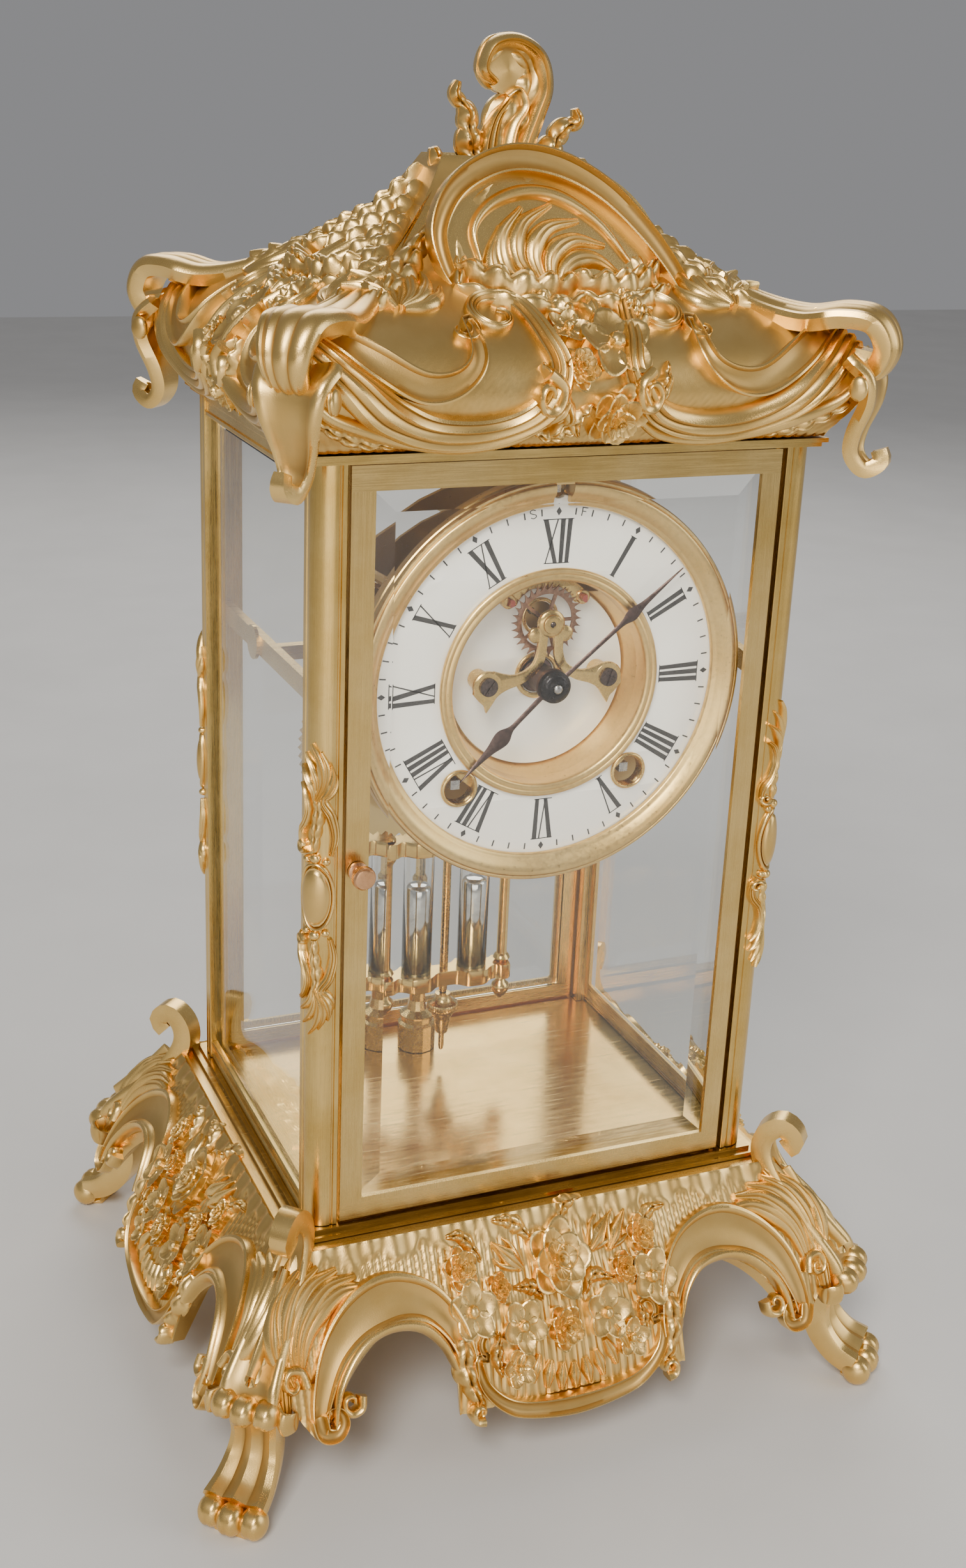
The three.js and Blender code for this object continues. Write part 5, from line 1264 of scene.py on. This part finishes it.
def make_escape_wheel():
    """Thirty hooked teeth on a five-armed rim, and the arbor with its pinion."""
    teeth, step = 30, 2 * math.pi / 30
    hook = [(12.3, 0), (11.95, 0.06), (11.55, 0.14), (11.2, 0.25), (10.85, 0.38), (10.55, 0.52), (10.4, 0.7),
            (10.5, 0.85), (10.9, 0.94), (11.5, 0.98), (12.0, 0.995)]
    rim = [(r * math.cos((i + f) * step), r * math.sin((i + f) * step)) for i in range(teeth)
           for r, f in hook]
    spaces = []
    for i in range(5):
        mid = 2 * math.pi * (i + 0.5) / 5
        half = [math.pi / 5 - 0.5 / r for r in (9.1, 3.1)]
        spaces.append([(9.1 * math.cos(a), 9.1 * math.sin(a)) for a in
                       np.linspace(mid - half[0], mid + half[0], 22)]
                      + [(3.1 * math.cos(a), 3.1 * math.sin(a)) for a in
                         np.linspace(mid + half[1], mid - half[1], 8)])
    slab("escape_wheel_rim", [rim] + spaces, -50.9, -50.2, "escape_arbor", "bronze", ["escape_wheel"], 0.08,
         ESCAPE_AT)
    arbor = Piece()
    lathe(arbor, [(0.1, -53.1), (0.6, -53.1), (0.8, -52.6), (0.8, -51.4), (2.0, -51.3), (2.0, -49.6),
                  (0.8, -49.5), (0.8, 0), (0.6, 0.2), (0.6, 0.9), (0.1, 0.9)], facing(*ESCAPE_AT), 32)
    pinion = gear_outline(6, 0.37, mesh_phase(76, THIRD_AT, 6, ESCAPE_AT))
    prism(arbor, [(ESCAPE_AT[0] + x, ESCAPE_AT[1] + z) for x, z in pinion], upright, -21.6, -18)
    arbor.make("escape_arbor_turned", "escape_arbor", "bright_steel", ["escape_wheel"])


def blade(piece, profile, degrees, front, thick, count=80):
    """A hand with bevelled edges; the profile gives (distance, half width)."""
    a = math.radians(degrees)
    line = curve(profile, count)
    width = np.maximum(line[:, 1], 0.06)
    columns = []
    for across, y in [(-1, 0.55), (-0.5, 0), (0, -0.12), (0.5, 0), (1, 0.55), (0.6, 1), (-0.6, 1)]:
        w = across * width
        columns.append(np.stack([line[:, 0] * math.sin(a) + w * math.cos(a),
                                 np.full(count, front + y * thick),
                                 DIAL_Z + line[:, 0] * math.cos(a) - w * math.sin(a)], -1))
    piece.add(*tube_solid(np.stack(columns, 1)))


def make_hands():
    """The two dark steel hands, the nut that holds them, and the hour pipe with its wheel."""
    axis = facing(*DIAL_AT)
    minute = Piece()
    blade(minute, [(2, 0.9), (16, 0.75), (28, 0.85), (31.5, 1.15), (33.5, 1.9), (35.3, 2.3), (37.2, 1.9),
                   (40, 1.2), (44, 0.85), (50, 0.6), (58, 0.1)], 50, -59.65, 0.65)
    lathe(minute, [(0.2, -59.7), (4.4, -59.7), (4.6, -59.5), (4.6, -59.0), (0.2, -59.0)], axis, 56)
    minute.make("minute_hand_blade", "centre_arbor", "steel", ["minute_hand"])
    tip = Piece()
    lathe(tip, [(0.1, -62.95), (0.9, -62.95), (1.4, -62.7), (1.6, -62.4), (1.6, -59.4), (0.1, -59.4)],
          axis, 40)
    tip.make("hand_arbor_tip", "centre_arbor", "bright_steel", ["minute_hand"])
    nut = Piece()
    lathe(nut, [(1.9, -59.95), (1.9, -62.2), (2.1, -62.45), (2.7, -62.5), (3.15, -62.2), (3.3, -61.6),
                (3.9, -61.5), (4.45, -61.25), (4.7, -60.8), (5.15, -60.65), (5.4, -60.4), (5.45, -60.1),
                (5.3, -59.95), (1.9, -59.95)], axis, 64)
    nut.make("hand_nut_turned", "centre_arbor", "black_steel", ["hand_nut"])
    hour = Piece()
    blade(hour, [(4, 1.0), (12, 0.95), (18.5, 1.0), (20.5, 1.5), (22.4, 2.6), (24.2, 3.0), (26.4, 2.6),
                 (29.5, 1.7), (34, 1.05), (39, 0.6), (44, 0.1)], 226, -58.35, 0.65)
    lathe(hour, [(2.25, -58.5), (3.1, -58.5), (3.3, -58.35), (5.4, -58.3), (5.7, -57.8), (5.7, -57.2),
                 (4.6, -56.6), (4.6, -46.4), (5.6, -46), (5.6, -42.6), (3.2, -41.2), (3.2, -40.2),
                 (2.25, -40.2), (2.25, -58.5)], axis, 56)
    hour.make("hour_hand_blade", "hour_pipe", "steel", ["hour_hand"])
    teeth = gear_outline(40, 0.4032, mesh_phase(10, MINUTE_AT, 40, DIAL_AT))
    slab("hour_wheel", [teeth, ring_points(2.9, 32)], -41.2, -40.2, "hour_pipe", "brass_turned",
         ["hour_hand"], 0.05, DIAL_AT)


def make_anchor():
    """Two swept arms round to the pallet stones, on an arbor that runs back to the crutch."""
    px, pz = 13.3, -5.1
    outer = [(0, 2.3), (5, 2.0), (9.6, 0.2), (12.9, -2.2), (14.9, -4.5), (14.8, -6.6), (13, -7.3)]
    inner = [(10.6, -6.6), (9.6, -4.6), (8.2, -3.2), (4.6, -1.2), (0, -2.2)]
    outline = [(x, z) for x, z in curve(outer, 30)] + [(x, z) for x, z in curve(inner, 20)]
    outline += [(-x, z) for x, z in reversed(outline[:-1])][:-1]
    slab("anchor_arms", [outline], -49.3, -48, "anchor", "brass_turned", ["pallet_anchor"], 0.2, ANCHOR_AT)
    metal, stones = Piece(), Piece()
    for s in (-1, 1):
        at = (s * px, ANCHOR_AT[1] + pz)
        lathe(metal, [(1.5, -49.42), (1.5, -49.9), (2.1, -49.9), (2.45, -49.6), (2.45, -47.2), (2.2, -47),
                      (1.5, -47), (1.5, -49.42)], facing(*at), 48)
        half = [(at[0] - s * 1.3 * math.cos(t), at[1] + 1.3 * math.sin(t)) for t in
                np.linspace(-math.pi * 0.62, math.pi * 0.62, 24)]
        prism(stones, half, upright, -52, -47.6)
    lathe(metal, [(0.1, -49.5), (0.8, -49.4), (0.8, 6.6), (0.1, 7)], facing(*ANCHOR_AT), 24)
    lathe(metal, [(0.1, 3.6), (2.2, 3.6), (2.4, 3.8), (2.4, 6.2), (2.2, 6.4), (0.1, 6.4)],
          facing(*ANCHOR_AT), 32)
    block(metal, -1.2, 1.2, 4, 6, 269, 301)
    block(metal, -3.9, 3.9, 4.05, 6.4, 266, 270)
    for x in (-3.9, 2.3):
        block(metal, x, x + 1.6, 6, 29, 266.05, 269.95)
    metal.make("anchor_arbor", "anchor", "brass_turned", ["pallet_anchor"], CUT)
    stones.make("pallet_stones", "anchor", "garnet", ["pallet_anchor"], CUT)


make_dial_plates()
make_numerals()
make_bridge()
make_escape_wheel()
make_hands()
make_anchor()


# ---- glazed case ----------------------------------------------------------------------------
def pane(name, centre, half_width, low, high, outer, thick, along_x, sign, body, replaces):
    """A pane whose outer face is bevelled all round; `outer` is that face's place on its axis."""
    bevel, drop = 9.0, 1.7
    rings = [(half_width, low, high, outer + sign * thick),
             (half_width, low, high, outer + sign * drop),
             (half_width - bevel, low + bevel, high - bevel, outer)]
    vertices = []
    for w, z0, z1, depth in rings:
        for a, z in ((-w, z0), (w, z0), (w, z1), (-w, z1)):
            vertices.append((centre + a, depth, z) if along_x else (depth, centre + a, z))
    faces = [(0, 1, 2, 3), (8, 9, 10, 11)]
    for ring in (0, 4):
        faces += [(ring + i, ring + (i + 1) % 4, ring + 4 + (i + 1) % 4, ring + 4 + i) for i in range(4)]
    mesh = bpy.data.meshes.new(name)
    mesh.from_pydata((np.array(vertices) * MM).tolist(), [], faces)
    merge_by_distance(mesh, 1e-7)
    place_object(name, mesh, body, "glass", replaces)


def make_glass():
    """The panes of both doors and both sides, in the places of the CAD panes."""
    for end, sign in (("front", 1), ("back", -1)):
        low, high = span(end + "_door_glass")
        outer = low[1] if end == "front" else high[1]
        pane(end + "_pane", 0, high[0], low[2], high[2], outer, high[1] - low[1], True, sign,
             end + "_door", [end + "_door_glass"])
    for side, sign in (("left", 1), ("right", -1)):
        low, high = span("side_glass_" + side)
        outer = low[0] if side == "left" else high[0]
        pane("side_pane_" + side, 0, high[1], low[2], high[2], outer, high[0] - low[0], False, sign,
             "case", ["side_glass_" + side])


CORNER_R = 6.5
SIDE_RAIL = 7.0


def make_posts():
    """A flat and a fine groove beside the door, a round column, and a groove for the side glass."""
    a = np.linspace(math.pi / 2 - 0.03, 0.03, 22)
    column = [(78.5 + CORNER_R * math.cos(t), 62.5 + CORNER_R * math.sin(t)) for t in a]
    outline = ([(75, 68.8), (75.2, 69), (76.6, 69), (76.8, 68.5), (77.3, 68.5), (77.6, 68.9)] + column
               + [(84.9, 61.2), (84.5, 60.9), (84.5, 60.4), (85, 60.1), (85, 57.7), (84.8, 57.5),
                  (82.3, 57.5), (82.3, 60), (78.7, 60), (78.7, 57.5), (75.2, 57.5), (75, 57.7)])
    low, high = span("post_front_right")
    for end, sy in (("front", -1), ("rear", 1)):
        for side, sx in (("left", -1), ("right", 1)):
            post = Piece()
            rows = [np.array([(sx * x, sy * y, z) for x, y in outline]) for z in (low[2], high[2])]
            post.add(*tube_solid(np.stack(rows, 0)))
            post.make("corner_post_%s_%s" % (end, side), "case", "brass_upright",
                      ["post_%s_%s" % (end, side)], DRAWN)


def corner_surface(sx, sy):
    """Places (distance round the corner, z, height) on a post's round column."""
    def place(u, z, h):
        u, z, h = np.broadcast_arrays(np.asarray(u, float), z, h)
        angle = math.pi / 4 - u / CORNER_R * (sx * sy)
        r = CORNER_R + h
        return np.stack([sx * (78.5 + r * np.cos(angle)), sy * (62.5 + r * np.sin(angle)), z], -1)
    return place


def post_mount(sx, sy):
    """An oval boss with strapwork above and below, ending in palmettes, wrapped round a post."""
    piece = Piece()
    place = corner_surface(sx, sy)
    disc(piece, (0, 208), lambda a: 4.6 * 10.2 / np.sqrt((10.2 * np.cos(a)) ** 2 + (4.6 * np.sin(a)) ** 2),
         lambda r, a: 0.8 + 2.3 * np.sqrt(np.maximum(1 - r * r, 0)) * (r < 0.9) + 0.5 * (r >= 0.9),
         place, 16, 40)
    rim = [(5.4 * math.cos(t), 208 + 11.4 * math.sin(t)) for t in np.linspace(0, 2 * math.pi, 30)]
    band(piece, rim, [1.5, 1.5, 1.5], 1.6, place, ROLL, 60)
    for flip in (1, -1):
        def along_post(points):
            return [(x, 208 + flip * (z - 208)) for x, z in points]
        reach = 0.96 if flip < 0 else 1.0
        for x, z, r in [(0, 221.4, 1.7), (-3.2, 220.4, 1.3), (3.2, 220.4, 1.3)]:
            disc(piece, along_post([(x, z)])[0], lambda a, r=r: np.full_like(a, r),
                 lambda q, a, r=r: 0.6 + r * np.sqrt(np.maximum(1 - q * q, 0)), place, 6, 14)
        band(piece, along_post([(5, 221.5), (6.2, 225), (5.8, 229), (3.4, 233), (2.2, 238), (3.4, 243),
                                (5.6, 245.5)]), [1.6, 2.4, 2.8, 2.6, 2.2, 2.2, 1.6], 2.4, place, STEPPED, 40)
        band(piece, along_post(spiral((4.9, 224.6), 2.2, 200, 1.1)), [2, 1.8, 1.6, 1.2], 2.8, place, ROLL, 16)
        band(piece, along_post([(-4.6, 222.5), (-5.6, 229), (-4.4, 236), (-2.2, 241), (-3.6, 246)]),
             [1.6, 2.8, 3.2, 3.4, 2], 2.2, place, STEPPED, 40)
        leaf(piece, along_post([(0.5, 223.5), (0.2, 230), (-0.6, 238), (0.4, 246)]), [3, 5, 4.6, 3], 1.8,
             place, 5, 40)
        tips = [(-5.8, 249.5), (-4.2, 253.5), (-1.4, 257), (1.6, 259.4), (4.2, 256), (5.8, 251.5)]
        fan(piece, along_post([(0, 239)])[0],
            along_post([(x, 208 + (z - 208) * reach) for x, z in tips]), 2.4, place, 3.0, 0.12 * flip)
    return piece


def make_mounts():
    """One mount on each corner post."""
    for end, sy in (("front", -1), ("rear", 1)):
        for side, sx in (("left", -1), ("right", 1)):
            post_mount(sx, sy).make("mount_%s_%s" % (end, side), "case", "gilt",
                                    ["post_mount_%s_%s" % (end, side)])


def make_side_rails():
    """Slim rails over and under the side panes, moulded along the outer edge."""
    for side, sx in (("left", -1), ("right", 1)):
        low, high = span("side_glass_" + side)
        rails = Piece()
        for z0, z1 in ((low[2], low[2] + SIDE_RAIL), (high[2] - SIDE_RAIL, high[2])):
            section = [(82.3, z0), (84.2, z0), (84.6, z0 + 0.5), (84.6, z0 + 1.6), (84.1, z0 + 2.1),
                       (84.1, z1 - 2.1), (84.6, z1 - 1.6), (84.6, z1 - 0.5), (84.2, z1), (82.3, z1)]
            rows = [np.array([(sx * x, y, z) for x, z in section]) for y in (-57.3, 57.3)]
            rails.add(*tube_solid(np.stack(rows, 0)))
        rails.make("side_rails_" + side, "case", "brass_level", ["side_glass_" + side], DRAWN)


def make_knobs():
    """The knurled knobs that turn the catches of the doors."""
    for end, s in (("front", 1), ("back", -1)):
        x, z = -70.0 * s, middle(end + "_door_knob")[2]
        profile = [(0.1, -77.1, 0), (2.6, -77.15, 0), (3.2, -77.0, 0), (3.45, -76.7, 0), (3.6, -76.5, 1),
                   (3.9, -76.2, 1), (3.9, -74.4, 1), (3.6, -74.1, 1), (3.3, -74.0, 0), (2.2, -73.4, 0),
                   (1.9, -71.6, 0), (2.2, -70.6, 0), (3.2, -70.2, 0), (3.3, -69.4, 0), (1.2, -69.35, 0),
                   (1.2, -62.3, 0), (2.4, -62.2, 0), (2.4, -61.2, 0), (0.1, -61.2, 0)]
        piece = Piece()
        piece.add(*tube_solid(knurled([(r, y * s, cut) for r, y, cut in profile], facing(x, z), 0.045, 96)))
        piece.make("knob_" + end, end + "_knob", "copper", [end + "_door_knob"], TURNED)


# ---- pendulum and gong ----------------------------------------------------------------------
def make_pendulum():
    """The cage with two vials of mercury, its rod, and the rating nut."""
    axis = standing(0, PENDULUM_Y)
    frame = Piece()
    x = np.linspace(-27.4, 27.4, 120)
    bulge = np.maximum(np.exp(-((np.abs(x) - 11.6) / 6) ** 4), 0.45 * np.exp(-((np.abs(x) - 24.5) / 3) ** 4))
    depth = (3.5 + 3.9 * bulge) * np.sqrt(np.clip((27.55 - np.abs(x)) / 1.2, 0.05, 1))
    outline = np.array(list(zip(x, depth)) + list(zip(x[::-1], -depth[::-1])))
    for low in (121, 178):
        rows = [np.column_stack([outline * k, np.full(len(outline), z)]) + (0, PENDULUM_Y, 0)
                for k, z in [(0.985, low), (1, low + 0.5), (1, low + 5.5), (0.985, low + 6)]]
        frame.add(*tube_solid(np.stack(rows, 0)))
    profile = [(0.2, 110), (1, 110.6), (2.4, 112.4), (3.3, 114), (3.7, 115.6), (3.3, 117), (2.2, 118),
               (1.8, 119), (2.3, 119.8), (2.3, 120.6), (1.9, 121.2), (1.9, 126.8), (2.7, 127.2), (3.4, 128.4),
               (2.9, 129.6), (2.1, 130.4), (2.05, 131.5), (2.05, 173.6), (2.4, 174.6), (3.3, 176),
               (3.3, 177.4), (2.4, 178), (2.4, 184), (3.1, 184.4), (2.6, 185.4), (1.7, 186), (1.9, 187),
               (2.8, 188.2),
               (2.7, 189.6), (1.4, 191.2), (0.2, 192)]
    for s in (-1, 1):
        lathe(frame, profile, standing(s * 24.5, PENDULUM_Y), 40)
    frame.make("pendulum_cage", "pendulum", "brass_polished", ["pendulum_frame"], TURNED)
    for side, s in (("left", -1), ("right", 1)):
        at = standing(s * 11.6, PENDULUM_Y)
        tube = Piece()
        lathe(tube, [(0.1, 123.4), (4.8, 123.4), (5.6, 124), (5.85, 125), (5.85, 178.5), (5.5, 180.6),
                     (4.4, 182.2), (2.6, 182.9), (0.1, 183), (0.1, 181.9), (2.4, 181.8), (3.9, 181.1),
                     (4.8, 179.8), (5.05, 178), (5.05, 125), (4.6, 124.4), (0.1, 124.4)], at, 48)
        tube.make("vial_" + side, "pendulum", "tube_glass", ["mercury_vial_" + side])
        filling = Piece()
        lathe(filling, [(0.1, 124.5), (4.5, 124.5), (4.95, 125.1), (4.95, 163), (4.5, 163.8), (3, 164.4),
                        (0.1, 164.6)], at, 48)
        filling.make("mercury_" + side, "pendulum", "mercury", ["mercury_vial_" + side])
    rod = Piece()
    lathe(rod, [(0.1, 91), (0.8, 91.6), (1.1, 93), (1.1, 117), (1.65, 118), (1.65, 288.4), (2.1, 288.8),
                (2.1, 290), (0.1, 290)], axis, 32)
    block(rod, -3, 3, PENDULUM_Y - 1.4, PENDULUM_Y + 1.4, 289, 294.5)
    block(rod, -2.6, 2.6, PENDULUM_Y - 0.2, PENDULUM_Y + 0.2, 293, 308)
    rod.make("pendulum_rod_turned", "pendulum", "brass_turned", ["pendulum_rod"], TURNED)
    nut = Piece()
    rings = knurled([(1.42, 99, 0), (2.2, 99.2, 0), (2.5, 100, 0), (3.3, 105, 0), (3.5, 106, 0),
                     (4.2, 107.4, 0), (4.4, 108.2, 0), (5.6, 109, 0), (6.1, 109.8, 1), (6.2, 110.4, 1),
                     (6.2, 111.8, 1), (6, 112.4, 1), (4, 113.4, 0), (3.1, 115, 0), (3, 116.4, 0),
                     (1.42, 116.5, 0)], axis, 0.04, 80)
    vertices = rings.reshape(-1, 3)
    nut.add(vertices, outward(vertices, net(*rings.shape[:2], close_rows=True)))
    nut.make("rating_nut_turned", "rating_nut_body", "brass_turned", ["rating_nut"], TURNED)


def make_gong():
    """A flat coil of blued wire, with the block at its inner end."""
    coil = Piece()
    turns, pitch, count, sides = 2.6, 5.0, 320, 14
    t = np.linspace(0, 1, count)
    a = 2 * math.pi * turns * t + math.pi
    r = 34 - pitch * turns * t
    b = np.linspace(0, 2 * math.pi, sides, endpoint=False)
    ring = r[:, None] + 1.3 * np.cos(b)[None, :]
    grid = np.stack([ring * np.cos(a)[:, None], 50 + 1.3 * np.sin(b)[None, :] * np.ones((count, 1)),
                     232 + ring * np.sin(a)[:, None]], -1)
    coil.add(*tube_solid(grid))
    x, z = r[-1] * math.cos(a[-1]), 232 + r[-1] * math.sin(a[-1])
    prism(coil, [(x - 2.4, z - 2.4), (x + 2.4, z - 2.4), (x + 2.4, z + 2.4), (x - 2.4, z + 2.4)], upright,
          47.4, 52.6)
    coil.make("gong_wire", "case", "blued_steel", ["gong_coil"], TURNED)


# The CAD nodes that stay visible, by the material they take.
KEPT = {
    "brass_plate": ["front_plate", "back_plate", "pillar_top_left", "pillar_top_right", "pillar_bottom",
                    "time_barrel", "strike_barrel", "suspension_cock"],
    "brass_turned": ["centre_wheel", "intermediate_wheel", "third_wheel", "minute_wheel",
                     "strike_pin_wheel", "strike_fly", "strike_hammer", "gong_stand"],
    "brass_across": ["movement_rail_left", "movement_rail_right", "top_plate"],
    "brass_floor": ["bottom_plate"],
    "brass_door": ["front_door_frame", "back_door_frame"],
    "bright_steel": ["time_winding_arbor", "strike_winding_arbor", "regulator_arbor", "suspension_chops"],
}


def dress_cad_nodes():
    """Gives the CAD nodes that stay visible the materials of this script."""
    for material, nodes in KEPT.items():
        for node in nodes:
            mesh = bpy.data.objects[node].data
            mesh.materials.clear()
            mesh.materials.append(MATERIALS[material])


make_glass()
make_posts()
make_mounts()
make_side_rails()
make_knobs()
make_pendulum()
make_gong()
dress_cad_nodes()
